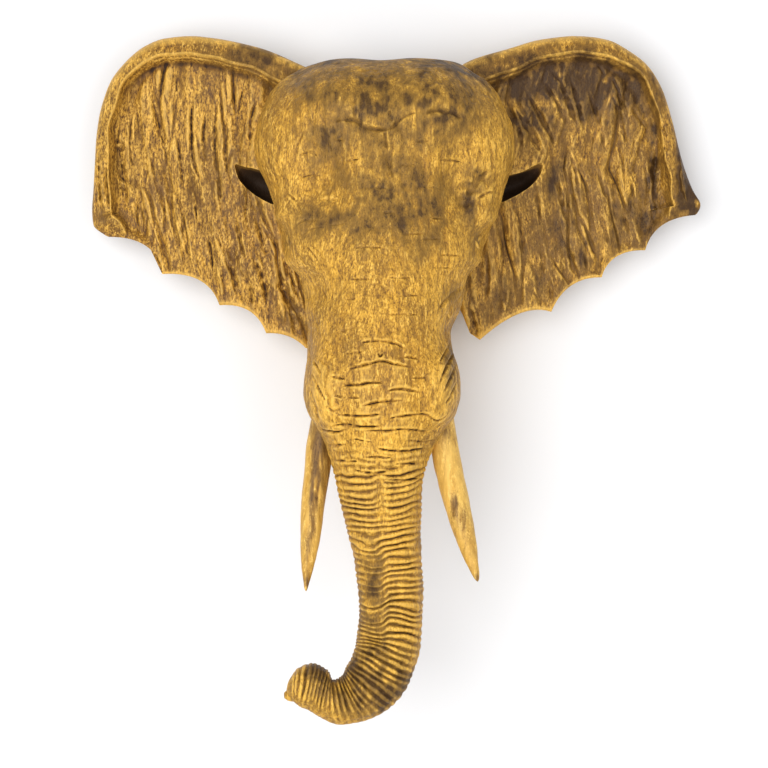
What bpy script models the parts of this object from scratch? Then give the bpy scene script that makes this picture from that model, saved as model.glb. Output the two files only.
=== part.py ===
"""Elephant head for a wall, carved in wood: one block with its ears and trunk, and two tusks let into it.

Metres, +Z up, the viewer on -Y. The wall is the plane y = 0 and the origin is the middle of the flat back.
The shape is a free form, so its tables are shares of its own height, in thousandths.
"""

import math

import bmesh
import bpy
import numpy as np

# From the tops of the ears to the underside of the bend in the trunk.
HEIGHT = 0.900
SHARE = HEIGHT / 1000
# Clearance all round each tusk in its socket, metres.
SEAT_GAP = 0.0005

# The head and trunk are drawn as sections hung on one line that starts at the crown and ends at the tip.
# Each table gives a value at a distance along that line.
CROWN_Z = 195.8
BEND_START = 841.7
MIDDLE = (
    (0, -1.5), (53, -0.5), (134, 1), (215, 4), (283, -1), (350, 0), (405, -6), (457, -3), (517, -2.5),
    (571, -5.5), (613, -5), (669, -1), (726, 5.5), (784, 10), (842, 7), (882, -4), (907, -19), (937, -43),
    (958, -65), (984, -86.5), (1007, -107), (1024, -124), (1037, -135), (1040, -138),
)
BEND_Z = (
    (842, -646), (882, -684), (907, -708), (937, -727), (958, -732), (984, -718), (1007, -707),
    (1024, -706), (1037, -710), (1040, -711),
)
HALF_WIDTH = (
    (0, 0), (3, 84), (7, 118), (15, 130), (30, 150), (53, 167.5), (74, 178), (95, 186), (134, 191), (156, 187),
    (188, 174), (215, 165), (243, 156), (283, 147), (300, 139.5), (325, 124.5), (350, 120), (370, 115.5),
    (405, 103), (429, 104), (457, 110), (489, 112), (517, 105.5), (543, 89), (571, 73.5), (613, 61.5),
    (669, 53.5), (726, 47.5), (784, 46), (842, 45.5), (882, 45), (907, 43), (937, 36.5), (958, 33),
    (984, 34), (1007, 32), (1024, 24), (1037, 9), (1040, 0),
)
FRONT = (
    (0, -140), (3, -172), (13, -200), (29, -223), (53, -242), (95, -258), (134, -265), (188, -270),
    (243, -279), (300, -291), (350, -304), (405, -320), (457, -331), (489, -335), (517, -335), (571, -329),
    (613, -320), (669, -305), (726, -290), (784, -278), (842, -272), (882, -271), (937, -273), (984, -283),
    (1007, -292), (1024, -290), (1037, -278), (1040, -270),
)
BACK = (
    (0, -140), (3, -84), (13, -42), (29, -16), (48, 14), (60, 30), (405, 30), (429, -11), (457, -76),
    (489, -122), (517, -154), (543, -174), (571, -189), (613, -201), (669, -204), (726, -198), (784, -188),
    (842, -184), (882, -186), (937, -200), (984, -214), (1007, -224), (1024, -240), (1037, -262),
    (1040, -270),
)
WIDEST = (
    (0, -140), (3, -120), (134, -130), (243, -140), (325, -145), (370, -158), (405, -180), (429, -200),
    (489, -220), (571, -250), (613, -258), (669, -252), (726, -244), (784, -234), (842, -228), (937, -236),
    (984, -248), (1007, -258), (1040, -270),
)
# Power of the section's outline, where 2 is an ellipse and more is squarer.
SQUARENESS = ((0, 2.0), (30, 2.2), (134, 2.45), (283, 2.6), (405, 2.3), (489, 2.2), (571, 2.1), (1040, 2.0))
BACK_SQUARENESS = 2.3
# Degrees the section is turned, clockwise as seen from the front.
TURN = (
    (560, 0), (640, -5), (726, -5), (784, -1), (842, 10), (882, 25), (907, 38), (937, 60), (958, 77),
    (984, 100), (1007, 100), (1024, 92), (1040, 88),
)

HEAD_ROWS = 31
FRONT_COLUMNS = 17
BACK_COLUMNS = 9
RING_START = 425
RING_SPACING = 19
RING_DEPTH = 2.6
# The rings stop this far short of the tip, which has a few rows of its own.
RING_MARGIN = 28
TIP_ROWS = (18, 9, 3, 0)
# How deep the rings are behind the trunk, as a share of their depth in front.
RING_BACK_SHARE = 0.35
# The carving of the face fades in over this distance from the crown.
CROWN_FADE = 30

# Round swellings and hollows of the face: x, z, half width, half height, how far out.
SWELLINGS = (
    (-66, 122, 56, 44, 14), (66, 124, 56, 44, 14), (0, -100, 56, 130, 9),
    (-92, 22, 36, 60, -17), (104, 4, 34, 66, -16),
    (-136, -36, 20, 50, 10), (142, -32, 20, 50, 10),
    (-99, -150, 28, 26, -11), (96, -168, 26, 26, -12),
    (-84, -284, 28, 52, 11), (86, -284, 28, 52, 11),
    (-50, -330, 16, 64, -9), (52, -330, 16, 64, -9),
)
# The same on the sides of the head: y, z, half width, half height, how far out.
SIDE_SWELLINGS = (
    (-198, -72, 36, 24, -9), (-202, -42, 40, 14, 7), (-192, -104, 36, 12, 6), (-120, -150, 60, 60, -8),
)
# Creases: half width, depth, then the points they run through.
CREASES = (
    (11, 4, (-100, 97), (-62, 93), (-21, 80), (0, 75), (18, 82), (40, 100)),
    (11, 3, (57, 97), (86, 105), (110, 98)),
    (10, 3, (0, 75), (6, 40), (12, 4)),
    (13, 6, (106, -150), (86, -184)),
    (12, 4, (-121, -128), (-110, -164)),
)

# Ears, in front view. The rim runs from the root over the top to the outer corner.
RIM_LEFT = (
    (-81, 174), (-126, 195), (-183, 219), (-253, 235), (-290, 239), (-328, 236), (-358, 225), (-386, 203),
    (-409, 174), (-419, 150), (-427, 121), (-432, 84), (-434, 46), (-436, 9), (-438, -20), (-436, -43),
    (-415, -61),
)
RIM_RIGHT = (
    (84, 174), (132, 202), (184, 218), (235, 233), (286, 239), (310, 238), (338, 233), (367, 218), (388, 203),
    (401, 189), (418, 159), (428, 129), (436, 99), (443, 69), (452, 39), (463, 10), (475, -13), (469, -28),
)
# The lower edge goes from scallop tip to scallop tip, with the point that pulls each curve inwards.
TIPS_LEFT = ((-415, -61), (-332, -117), (-246, -164), (-176, -206), (-117, -228), (-73, -249))
PULLS_LEFT = ((-341, -60), (-262, -113), (-192, -160), (-139, -204), (-96, -231))
TIPS_RIGHT = ((469, -28), (392, -81), (326, -122), (250, -174), (143, -216))
PULLS_RIGHT = ((405, -32), (338, -80), (272, -121), (206, -159))
ROOT_RIGHT = ((143, -216), (128, -206), (117, -178), (100, -146), (84, -60), (84, 174))
ROOT_LEFT = ((-73, -249), (-81, 174))
EAR_COLUMNS = 32
EAR_ROWS = (0, 0.025, 0.07, 0.12, 0.17, 0.25, 0.37, 0.5, 0.64, 0.78, 0.9, 0.975, 1)
EAR_HALF_THICKNESS = 11
EDGE_HALF_THICKNESS = 4
# The thin lower edge grows to the full thickness over this distance.
EDGE_TAPER = 70
# The ear's middle plane: distance from the wall at the root, how much nearer it comes at the outer
# corner, and the distances from the middle of the head where it starts and ends to turn.
EAR_OFF_WALL = 84
EAR_SWEEP = 22
SWEEP_SPAN = (120, 450)
# The back of the ear is thicker by the root, fading out between these distances from the middle.
ROOT_THICKENING = 34
ROOT_SPAN = (170, 260)
# No ear comes nearer to the wall than this.
WALL_CLEARANCE = 14
RIM_HEIGHT = 13
RIM_BAND = ((0, 44), (0.2, 34), (0.45, 24), (0.7, 19), (1, 15))
RIB_SPACING = 42
RIB_DEPTH = 8
# The height where the ribs change their lean, and where they start, as distances from the middle.
RIB_BEND_Z = 40
RIB_SPAN = (150, 175)
# The ear swells out above its slot: distance from the middle, z, half width, half height, how far out.
FLAP = (196, 62, 40, 40, 12)
# Each ear is hollowed like a dish: distance from the middle, z, half width, half height, how deep.
DISH = (320, 70, 110, 120, 12)
# How far each ear's ribs lean, sideways per unit of drop, above and below the middle.
RIB_LEAN_LEFT = (-0.03, 0.24)
RIB_LEAN_RIGHT = (0.26, 0.16)

# The deep slot beside each temple: x, y, z, half length, half depth, half height, degrees of tilt.
SLOTS = ((-188, -100, 22, 49, 40, 16, 25), (196, -100, 27, 53, 40, 16, -28))

# Lower lip behind the trunk: x, y, z, half width, half depth.
LIP = (
    (0, -70, -215, 66, 55), (0, -84, -262, 60, 46), (0, -104, -312, 50, 36), (0, -120, -356, 40, 27),
    (0, -136, -394, 28, 19), (0, -152, -422, 16, 13), (0, -166, -438, 6, 6),
)
# Finger at the end of the trunk: x, y, z, radius twice.
FINGER = (
    (-108, -262, -708, 17, 17), (-124, -264, -716, 13, 14), (-135, -266, -719, 8, 10),
    (-140, -267, -719, 4, 5),
)
# Eyes, on the sides of the head: x, y, z, half length, half height.
EYES = ((-131, -198, -72, 23, 13), (130, -198, -72, 23, 13))

# Tusks: x, y, z, radius.
TUSK_LEFT = (
    (-80, -224, -292, 16.5), (-84, -226, -326, 18.5), (-92, -228, -375, 19.3), (-94.5, -233, -404, 19),
    (-100, -243, -446, 17.5), (-104, -259, -501, 14.2), (-107.5, -273, -542, 8.4), (-109, -284, -567, 3.4),
)
TUSK_RIGHT = (
    (76, -224, -292, 16.5), (80, -226, -326, 18.5), (89.5, -230, -390, 20), (102, -243, -446, 18.8),
    (116, -259, -501, 14.2), (125, -271, -536, 8.4), (131, -280, -558, 3.2),
)
TUSK_SIDES = 12
TUSK_RINGS = 11


def profile(knots, at):
    """A smooth curve through (place, value) knots that never swings past them."""
    place, value = np.array(knots, float).T
    step = np.diff(place)
    slope = np.diff(value) / step
    before, after = slope[:-1], slope[1:]
    together = before * after > 0
    total = np.where(together, before + after, 1)
    inner = np.where(together, 2 * before * after / total, 0)
    tangent = np.concatenate([slope[:1], inner, slope[-1:]])
    at = np.clip(np.asarray(at, float), place[0], place[-1])
    span = np.clip(np.searchsorted(place, at, side="right") - 1, 0, len(step) - 1)
    t = (at - place[span]) / step[span]
    start = value[span] * (1 + 2 * t) * (1 - t) ** 2 + tangent[span] * step[span] * t * (1 - t) ** 2
    end = value[span + 1] * t**2 * (3 - 2 * t) - tangent[span + 1] * step[span] * t**2 * (1 - t)
    return start + end


def ramp(low, high, value):
    """0 below low, 1 above high and an S curve between."""
    t = np.clip((value - low) / (high - low), 0, 1)
    return t * t * (3 - 2 * t)


def along(points, count):
    """The same line as count points at even distances."""
    points = np.array(points, float)
    steps = np.linalg.norm(np.diff(points, axis=0), axis=1)
    travelled = np.concatenate([[0], np.cumsum(steps)])
    wanted = np.linspace(0, travelled[-1], count)
    return np.column_stack([np.interp(wanted, travelled, column) for column in points.T])


def smooth_line(points, count):
    """A smooth line through the points, as count points at even distances."""
    points = np.array(points, float)
    places = np.arange(len(points))
    fine = np.linspace(0, len(points) - 1, 40 * len(points))
    curves = [profile(np.column_stack([places, column]), fine) for column in points.T]
    return along(np.column_stack(curves), count)


def distance_to(line, x, z):
    """Distance from each place to a line in front view, and how far along it the nearest point is."""
    flat = np.stack([np.ravel(x), np.ravel(z)], axis=1)
    gaps = np.linalg.norm(flat[:, None] - line[None], axis=2)
    nearest = gaps.argmin(axis=1)
    shape = np.shape(x)
    return gaps.min(axis=1).reshape(shape), (nearest / (len(line) - 1)).reshape(shape)


def grid_normals(points):
    """Unit normals of a grid whose rows are closed loops, pointing out."""
    down = np.gradient(points, axis=0)
    across = np.roll(points, -1, axis=1) - np.roll(points, 1, axis=1)
    normal = np.cross(across, down)
    return normal / np.maximum(np.linalg.norm(normal, axis=2, keepdims=True), 1e-9)


def swelling(across, up, middle, height, wide, high, rise):
    """A round swelling, or a hollow where rise is negative."""
    return rise * np.exp(-(((across - middle) / wide) ** 2) - ((up - height) / high) ** 2)


def face_relief(x, z):
    """How far the carving of the face stands out, in front view."""
    out = sum(swelling(x, z, *place) for place in SWELLINGS)
    for half, depth, *line in CREASES:
        gap, _ = distance_to(smooth_line(line, 24), x, z)
        out -= depth * np.exp(-((gap / half) ** 2))
    return out


def head_rows():
    """Where sections are drawn: at even distances over the face, and two to each ring of the trunk."""
    fine = np.linspace(0, RING_START, 3000)
    reach = np.column_stack([fine, profile(HALF_WIDTH, fine), profile(FRONT, fine)])
    steps = np.linalg.norm(np.diff(reach, axis=0), axis=1)
    travelled = np.concatenate([[0], np.cumsum(steps)])
    face = np.interp(np.linspace(0, travelled[-1], HEAD_ROWS), travelled, fine)
    tip = HALF_WIDTH[-1][0]
    rings = np.arange(RING_START + RING_SPACING / 2, tip - RING_MARGIN, RING_SPACING / 2)
    return np.concatenate([face, rings, tip - np.array(TIP_ROWS)])


def section_angles():
    """Directions round a section, closer together over the front than over the back."""
    front = np.linspace(0, math.pi, FRONT_COLUMNS, endpoint=False)
    back = np.linspace(math.pi, 2 * math.pi, BACK_COLUMNS, endpoint=False)
    return np.concatenate([front, back])


def head_grid():
    """Points of the head and trunk, a closed loop to each row."""
    row = head_rows()[:, None]
    angle = section_angles()[None]
    side, forward = np.cos(angle), np.sin(angle)
    wide = profile(HALF_WIDTH, row)
    widest = profile(WIDEST, row)
    depth = np.where(forward > 0, widest - profile(FRONT, row), profile(BACK, row) - widest)
    power = np.where(forward > 0, profile(SQUARENESS, row), BACK_SQUARENESS)
    wide, depth = np.maximum(wide, 1e-6), np.maximum(depth, 1e-6)
    reach = ((np.abs(side) / wide) ** power + (np.abs(forward) / depth) ** power) ** (-1 / power)
    turn = np.radians(profile(TURN, row))
    middle_z = np.where(row < BEND_START, CROWN_Z - row, profile(BEND_Z, row))
    x = profile(MIDDLE, row) + np.cos(turn) * side * reach
    y = widest - forward * reach
    z = middle_z - np.sin(turn) * side * reach
    points = np.stack([x, y, z], axis=2)

    normal = grid_normals(points)
    facing = np.clip(-normal[..., 1:2] * 1.6, 0, 1)
    inside = ramp(0, CROWN_FADE, row)[..., None]
    sideways = np.clip(np.abs(normal[..., :1]) * 1.5 - 0.5, 0, 1)
    cheek = sum(swelling(y, z, *place) for place in SIDE_SWELLINGS)
    points = points + normal * facing * inside * face_relief(x, z)[..., None]
    points = points + normal * sideways * inside * cheek[..., None]
    ring = np.cos(2 * math.pi * (row - RING_START) / RING_SPACING)
    last = HALF_WIDTH[-1][0] - RING_MARGIN
    there = ramp(RING_START, RING_START + 3 * RING_SPACING, row) * (1 - ramp(last - RING_SPACING, last, row))
    round_front = RING_BACK_SHARE + (1 - RING_BACK_SHARE) * ramp(-0.4, 0.6, forward)
    points = points + normal * (RING_DEPTH * ring * there * round_front)[..., None]
    points[..., 1] = np.minimum(points[..., 1], 0)
    return points


def eye_grid(x, y, z, long, high):
    """An almond eyeball seen from the side."""
    sides = np.linspace(0, 2 * math.pi, 12, endpoint=False)
    rows = []
    for step in np.linspace(-1, 1, 8):
        reach = math.sqrt(max(1 - step * step, 1e-8))
        rows.append(np.column_stack([
            np.full(12, x + high * step),
            y + long * reach * np.cos(sides),
            z + high * reach * np.sin(sides),
        ]))
    return np.array(rows)


def tube_grid(stations, rings, sides, grow=0.0):
    """Points of a rod along stations of x, y, z and one or two radii, made wider all round by grow."""
    stations = np.array(stations, float)
    if stations.shape[1] == 4:
        stations = np.column_stack([stations, stations[:, 3]])
    line = smooth_line(stations, rings)
    heading = np.gradient(line[:, :3], axis=0)
    heading /= np.linalg.norm(heading, axis=1, keepdims=True)
    line[0, :3] -= heading[0] * grow
    line[-1, :3] += heading[-1] * grow
    side = np.cross(heading, [0, 1, 0])
    side /= np.linalg.norm(side, axis=1, keepdims=True)
    front = np.cross(heading, side)
    angle = np.linspace(0, 2 * math.pi, sides, endpoint=False)
    out = side[:, None] * np.cos(angle)[:, None] * (line[:, 3] + grow)[:, None, None]
    out = out + front[:, None] * np.sin(angle)[:, None] * (line[:, 4] + grow)[:, None, None]
    return line[:, None, :3] + out


def scallops(tips, pulls, count):
    """The lower edge of an ear, as curves from tip to tip."""
    t = np.linspace(0, 1, 40)[:, None]
    runs = []
    for start, pull, end in zip(np.array(tips[:-1]), np.array(pulls), np.array(tips[1:])):
        runs.append((1 - t) ** 2 * start + 2 * t * (1 - t) * pull + t**2 * end)
    line = runs[0]
    for run in runs[1:]:
        line = np.concatenate([line, run[1:]])
    return along(line, count)


def rib_relief(x, z, lean):
    """Long soft ribs that run down the ear, each fading in and out."""
    above, below = lean
    shift = above * np.maximum(z - RIB_BEND_Z, 0) - below * np.minimum(z - RIB_BEND_Z, 0)
    place = (x - shift) / RIB_SPACING
    strength = 0.7 + 0.3 * np.sin(z / 47 + 2.4 * np.round(place))
    return -RIB_DEPTH * np.abs(np.cos(math.pi * place)) ** 3 * strength


def ear_faces(rim, tips, pulls, root, lean):
    """Front and back grids of an ear, which share their outer points."""
    rim_line = smooth_line(rim, 400)
    edge_line = scallops(tips, pulls, 400)
    root_line = along(root, 120)
    share = np.linspace(0, 1, EAR_COLUMNS)[:, None]
    across = np.array(EAR_ROWS)[None]
    start = share[:, 0] * 0.999
    top = np.column_stack([np.interp(start, np.linspace(0, 1, 400), column) for column in rim_line.T])
    # The lower edge is stored from the outer corner inwards.
    low = np.column_stack([np.interp(1 - start, np.linspace(0, 1, 400), column) for column in edge_line.T])
    x = top[:, :1] * (1 - across) + low[:, :1] * across
    z = top[:, 1:] * (1 - across) + low[:, 1:] * across
    if len(root) > 2:
        bulge = along(root[::-1], 200)
        first = np.column_stack([np.interp(across[0], np.linspace(0, 1, 200), column) for column in bulge.T])
        pull = np.clip(1 - share / 0.25, 0, 1) ** 2
        x = x + pull * (first[:, 0] - x[0])[None]
        z = z + pull * (first[:, 1] - z[0])[None]

    rim_gap, rim_place = distance_to(rim_line, x, z)
    edge_gap, _ = distance_to(edge_line, x, z)
    root_gap, _ = distance_to(root_line, x, z)
    inner = np.minimum(rim_gap, root_gap)
    round_rim = np.sqrt(1 - (1 - np.clip(inner / EAR_HALF_THICKNESS, 0, 1)) ** 2)
    round_edge = np.sqrt(1 - (1 - np.clip(edge_gap / EDGE_HALF_THICKNESS, 0, 1)) ** 2)
    growth = EAR_HALF_THICKNESS - EDGE_HALF_THICKNESS
    grown = EDGE_HALF_THICKNESS + growth * ramp(0, EDGE_TAPER, edge_gap)
    half = np.minimum(EAR_HALF_THICKNESS * round_rim, grown * round_edge)

    band = profile(RIM_BAND, rim_place)
    rim_rise = RIM_HEIGHT * (1 - ramp(band - 5, band + 7, rim_gap)) * round_rim * ramp(0, 22, edge_gap)
    away = np.abs(x)
    middle = EAR_SWEEP * ramp(*SWEEP_SPAN, away) - EAR_OFF_WALL
    field = ramp(band + 6, band + 30, rim_gap) * ramp(2, 14, edge_gap) * ramp(*RIB_SPAN, away)
    ribs = rib_relief(x, z, lean) * field
    flap = swelling(np.abs(x), z, *FLAP) * round_rim * ramp(2, 30, edge_gap)
    dish = swelling(np.abs(x), z, *DISH) * field
    front = middle - half - rim_rise - ribs - flap + dish
    thicker = ROOT_THICKENING * (1 - ramp(*ROOT_SPAN, away)) * round_rim
    back = middle + half + thicker + 0.7 * dish
    shell = np.stack([x, front, z], axis=2), np.stack([x, np.minimum(back, -WALL_CLEARANCE), z], axis=2)
    shell[1][:, 0] = shell[0][:, 0] = np.stack([x, middle, z], axis=2)[:, 0]
    shell[1][:, -1] = shell[0][:, -1]
    shell[1][0] = shell[0][0]
    shell[1][-1] = shell[0][-1]
    return shell


def object_from(name, vertices, faces):
    """A mesh object of points given in shares of the height, with its faces turned outwards."""
    mesh = bpy.data.meshes.new(name)
    mesh.from_pydata((np.asarray(vertices, float) * SHARE).tolist(), [], [tuple(face) for face in faces])
    work = bmesh.new()
    work.from_mesh(mesh)
    bmesh.ops.remove_doubles(work, verts=work.verts, dist=1e-6)
    bmesh.ops.dissolve_degenerate(work, edges=work.edges, dist=1e-6)
    bmesh.ops.recalc_face_normals(work, faces=work.faces)
    work.to_mesh(mesh)
    work.free()
    made = bpy.data.objects.new(name, mesh)
    bpy.context.scene.collection.objects.link(made)
    return made


def loop_object(name, grid):
    """A closed object from a grid whose rows are loops, with both ends filled."""
    rows, columns = grid.shape[:2]
    index = np.arange(rows * columns).reshape(rows, columns)
    right = np.roll(index, -1, axis=1)
    faces = np.stack([index[:-1], right[:-1], right[1:], index[1:]], axis=2).reshape(-1, 4).tolist()
    faces += [index[0].tolist(), index[-1][::-1].tolist()]
    return object_from(name, grid.reshape(-1, 3), faces)


def sheet_object(name, front, back):
    """A closed object from two grids that share their outer points."""
    rows, columns = front.shape[:2]
    index = np.arange(rows * columns).reshape(rows, columns)
    one = np.stack([index[:-1, :-1], index[:-1, 1:], index[1:, 1:], index[1:, :-1]], axis=2).reshape(-1, 4)
    two = one[:, ::-1] + rows * columns
    points = np.concatenate([front.reshape(-1, 3), back.reshape(-1, 3)])
    return object_from(name, points, np.concatenate([one, two]).tolist())


def combine(target, other, operation):
    """Joins other to target, or cuts it away, and removes other."""
    modifier = target.modifiers.new(operation.title(), "BOOLEAN")
    modifier.operation = operation
    modifier.solver = "EXACT"
    modifier.object = other
    graph = bpy.context.evaluated_depsgraph_get()
    joined = bpy.data.meshes.new_from_object(target.evaluated_get(graph))
    target.modifiers.clear()
    old = target.data
    target.data = joined
    bpy.data.meshes.remove(old)
    bpy.data.objects.remove(other)


def wood(name, colour, roughness):
    """A plain wood finish."""
    material = bpy.data.materials.new(name)
    material.use_nodes = True
    shader = material.node_tree.nodes["Principled BSDF"]
    shader.inputs["Base Color"].default_value = (*colour, 1)
    shader.inputs["Roughness"].default_value = roughness
    return material


def finish(made, name, material):
    """Names the node, gives it its material and shades it smooth."""
    made.name = name
    made.data.name = name
    made.data.materials.clear()
    made.data.materials.append(material)
    made.data.polygons.foreach_set("use_smooth", [True] * len(made.data.polygons))


def tilted_slot(x, y, z, long, deep, high, tilt):
    """A lens-shaped cutter, lying at a tilt in front view."""
    angle = np.linspace(0, 2 * math.pi, 16, endpoint=False)
    turn = math.radians(-tilt)
    rows = []
    for step in np.linspace(-0.98, 0.98, 9):
        reach = math.sqrt(1 - step * step)
        off = np.full(16, long * step)
        up = high * reach * np.sin(angle)
        rows.append(np.column_stack([
            x + off * math.cos(turn) - up * math.sin(turn),
            y + deep * reach * np.cos(angle),
            z + off * math.sin(turn) + up * math.cos(turn),
        ]))
    return np.array(rows)


def build():
    """Makes the three nodes."""
    for left_over in list(bpy.data.objects):
        bpy.data.objects.remove(left_over)

    head = loop_object("head", head_grid())
    left = ear_faces(RIM_LEFT, TIPS_LEFT, PULLS_LEFT, ROOT_LEFT, RIB_LEAN_LEFT)
    right = ear_faces(RIM_RIGHT, TIPS_RIGHT, PULLS_RIGHT, ROOT_RIGHT, RIB_LEAN_RIGHT)
    combine(head, sheet_object("ear left", *left), "UNION")
    combine(head, sheet_object("ear right", *right), "UNION")
    combine(head, loop_object("lip", tube_grid(LIP, 8, 14)), "UNION")
    combine(head, loop_object("finger", tube_grid(FINGER, 5, 10)), "UNION")
    for place in EYES:
        combine(head, loop_object("eye", eye_grid(*place)), "UNION")
    for place in SLOTS:
        combine(head, loop_object("slot", tilted_slot(*place)), "DIFFERENCE")

    tusk_wood = wood("tusk wood", (0.62, 0.42, 0.17), 0.42)
    for name, stations in (("tusk_left", TUSK_LEFT), ("tusk_right", TUSK_RIGHT)):
        cutter = tube_grid(stations, TUSK_RINGS, TUSK_SIDES, SEAT_GAP / SHARE)
        combine(head, loop_object("socket", cutter), "DIFFERENCE")
        finish(loop_object(name, tube_grid(stations, TUSK_RINGS, TUSK_SIDES)), name, tusk_wood)
    finish(head, "head", wood("head wood", (0.50, 0.30, 0.09), 0.5))


build()
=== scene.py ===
"""A carved wooden elephant head that hangs on a wall, finished as in its photograph.

The shapes are worked out in thousandths of the object's height, in the frame's axes: X to the right, Z up
and the viewer on -Y. The wall is the plane y = 0.
"""

import itertools
import logging
import math
import time
from dataclasses import dataclass, field
from enum import Enum

import bpy
import numpy as np
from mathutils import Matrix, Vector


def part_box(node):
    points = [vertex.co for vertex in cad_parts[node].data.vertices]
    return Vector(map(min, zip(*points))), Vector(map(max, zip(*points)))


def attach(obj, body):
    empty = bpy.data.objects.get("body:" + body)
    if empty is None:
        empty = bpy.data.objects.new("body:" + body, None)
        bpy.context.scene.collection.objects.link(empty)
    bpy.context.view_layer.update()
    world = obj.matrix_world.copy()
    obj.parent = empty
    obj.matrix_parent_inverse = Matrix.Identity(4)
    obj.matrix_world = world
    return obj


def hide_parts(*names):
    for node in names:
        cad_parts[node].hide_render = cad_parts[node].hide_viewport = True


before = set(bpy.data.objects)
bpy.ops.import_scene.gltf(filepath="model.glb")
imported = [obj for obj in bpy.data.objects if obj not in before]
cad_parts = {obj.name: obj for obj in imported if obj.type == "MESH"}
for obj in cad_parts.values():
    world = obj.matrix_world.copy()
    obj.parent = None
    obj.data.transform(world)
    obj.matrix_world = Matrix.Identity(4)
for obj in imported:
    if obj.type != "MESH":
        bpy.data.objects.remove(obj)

HEIGHT = 0.900
SHARE = HEIGHT / 1000
SEED = 41
SPIN = ((0.8, -0.6, 0.0), (0.51, 0.68, -0.53), (0.32, 0.42, 0.85))
FLAT_SPIN = ((0.8, -0.6), (0.6, 0.8))
FAN_EDGES = 14
SHARP_DEGREES = 62

logging.basicConfig(level=logging.INFO, format="%(message)s")
log = logging.getLogger("elephant head")

Knots = tuple[tuple[float, float], ...]
Place = tuple[float, ...]
Array = np.ndarray


class Side(Enum):
    """The two sides of the object, as seen from the front."""

    LEFT = "left"
    RIGHT = "right"


class Join(Enum):
    """How one body changes another."""

    ADD = "UNION"
    CUT = "DIFFERENCE"


@dataclass(frozen=True)
class Fineness:
    """How finely the pieces are gridded.

    Attributes:
        share: Share of the full number of rows and columns.
    """

    share: float = 1.0

    def of(self, count: int) -> int:
        """Scales a count of rows or columns."""
        return max(8, int(round(count * self.share)))


FINE = Fineness()


def profile(knots: Knots, at: Array) -> Array:
    """A smooth curve through knots that never swings past them.

    Args:
        knots: Pairs of place and value, in order of place.
        at: Places to read.

    Returns:
        The value at each place.
    """
    place, value = np.array(knots, float).T
    step = np.diff(place)
    slope = np.diff(value) / step
    before, after = slope[:-1], slope[1:]
    together = before * after > 0
    total = np.where(together, before + after, 1)
    inner = np.where(together, 2 * before * after / total, 0)
    tangent = np.concatenate([slope[:1], inner, slope[-1:]])
    at = np.clip(np.asarray(at, float), place[0], place[-1])
    span = np.clip(np.searchsorted(place, at, side="right") - 1, 0, len(step) - 1)
    t = (at - place[span]) / step[span]
    start = value[span] * (1 + 2 * t) * (1 - t) ** 2 + tangent[span] * step[span] * t * (1 - t) ** 2
    end = value[span + 1] * t**2 * (3 - 2 * t) - tangent[span + 1] * step[span] * t**2 * (1 - t)
    return start + end


def ramp(low: float | Array, high: float | Array, value: Array) -> Array:
    """An S curve that is 0 below low and 1 above high."""
    t = np.clip((value - low) / (high - low), 0, 1)
    return t * t * (3 - 2 * t)


def both_ends(low: float, high: float, share: Array) -> Array:
    """An S curve that rises at the start of a length and falls at its end."""
    return ramp(low, high, share) * ramp(low, high, 1 - share)


def along(points: Array, count: int) -> Array:
    """The same line as points at even distances.

    Args:
        points: The line's points, one to a row.
        count: How many points to return.

    Returns:
        The new points.
    """
    points = np.asarray(points, float)
    steps = np.linalg.norm(np.diff(points, axis=0), axis=1)
    travelled = np.concatenate([[0], np.cumsum(steps)])
    wanted = np.linspace(0, travelled[-1], count)
    return np.column_stack([np.interp(wanted, travelled, column) for column in points.T])


def smooth_line(points: Array, count: int) -> Array:
    """A smooth line through the points.

    Args:
        points: The points it runs through.
        count: How many points to return, at even distances.

    Returns:
        The line's points.
    """
    points = np.asarray(points, float)
    places = np.arange(len(points))
    fine = np.linspace(0, len(points) - 1, 40 * len(points))
    curves = [profile(np.column_stack([places, column]), fine) for column in points.T]
    return along(np.column_stack(curves), count)


def line_gap(line: Array, x: Array, z: Array) -> tuple[Array, Array, Array]:
    """How far each place is from a line in front view.

    Args:
        line: The line's x and z, one point to a row.
        x: Places across.
        z: Places up.

    Returns:
        The distance, the share of the line's length where it is nearest, and 1 or -1 for the side of it.
    """
    flat = np.stack([np.ravel(x), np.ravel(z)], axis=1)
    start, step = line[:-1], np.diff(line, axis=0)
    length = np.maximum((step**2).sum(axis=1), 1e-9)
    found = []
    for part in np.array_split(flat, max(1, len(flat) // 6000)):
        off = part[:, None] - start[None]
        t = np.clip((off * step).sum(axis=2) / length, 0, 1)
        gap = np.linalg.norm(off - t[..., None] * step, axis=2)
        near = gap.argmin(axis=1)
        rows = np.arange(len(part))
        turn = step[near, 0] * off[rows, near, 1] - step[near, 1] * off[rows, near, 0]
        found.append(np.stack([gap[rows, near], (near + t[rows, near]) / len(step), np.sign(turn)]))
    gap, place, side = np.concatenate(found, axis=1).reshape(3, *np.shape(x))
    return gap, place, side


def swelling(across: Array, up: Array, place: Place) -> Array:
    """A bell over a middle across and up, a half width and a half height, as high as its rise."""
    middle, height, wide, high, rise = place
    return rise * np.exp(-(((across - middle) / wide) ** 2) - ((up - height) / high) ** 2)


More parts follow.
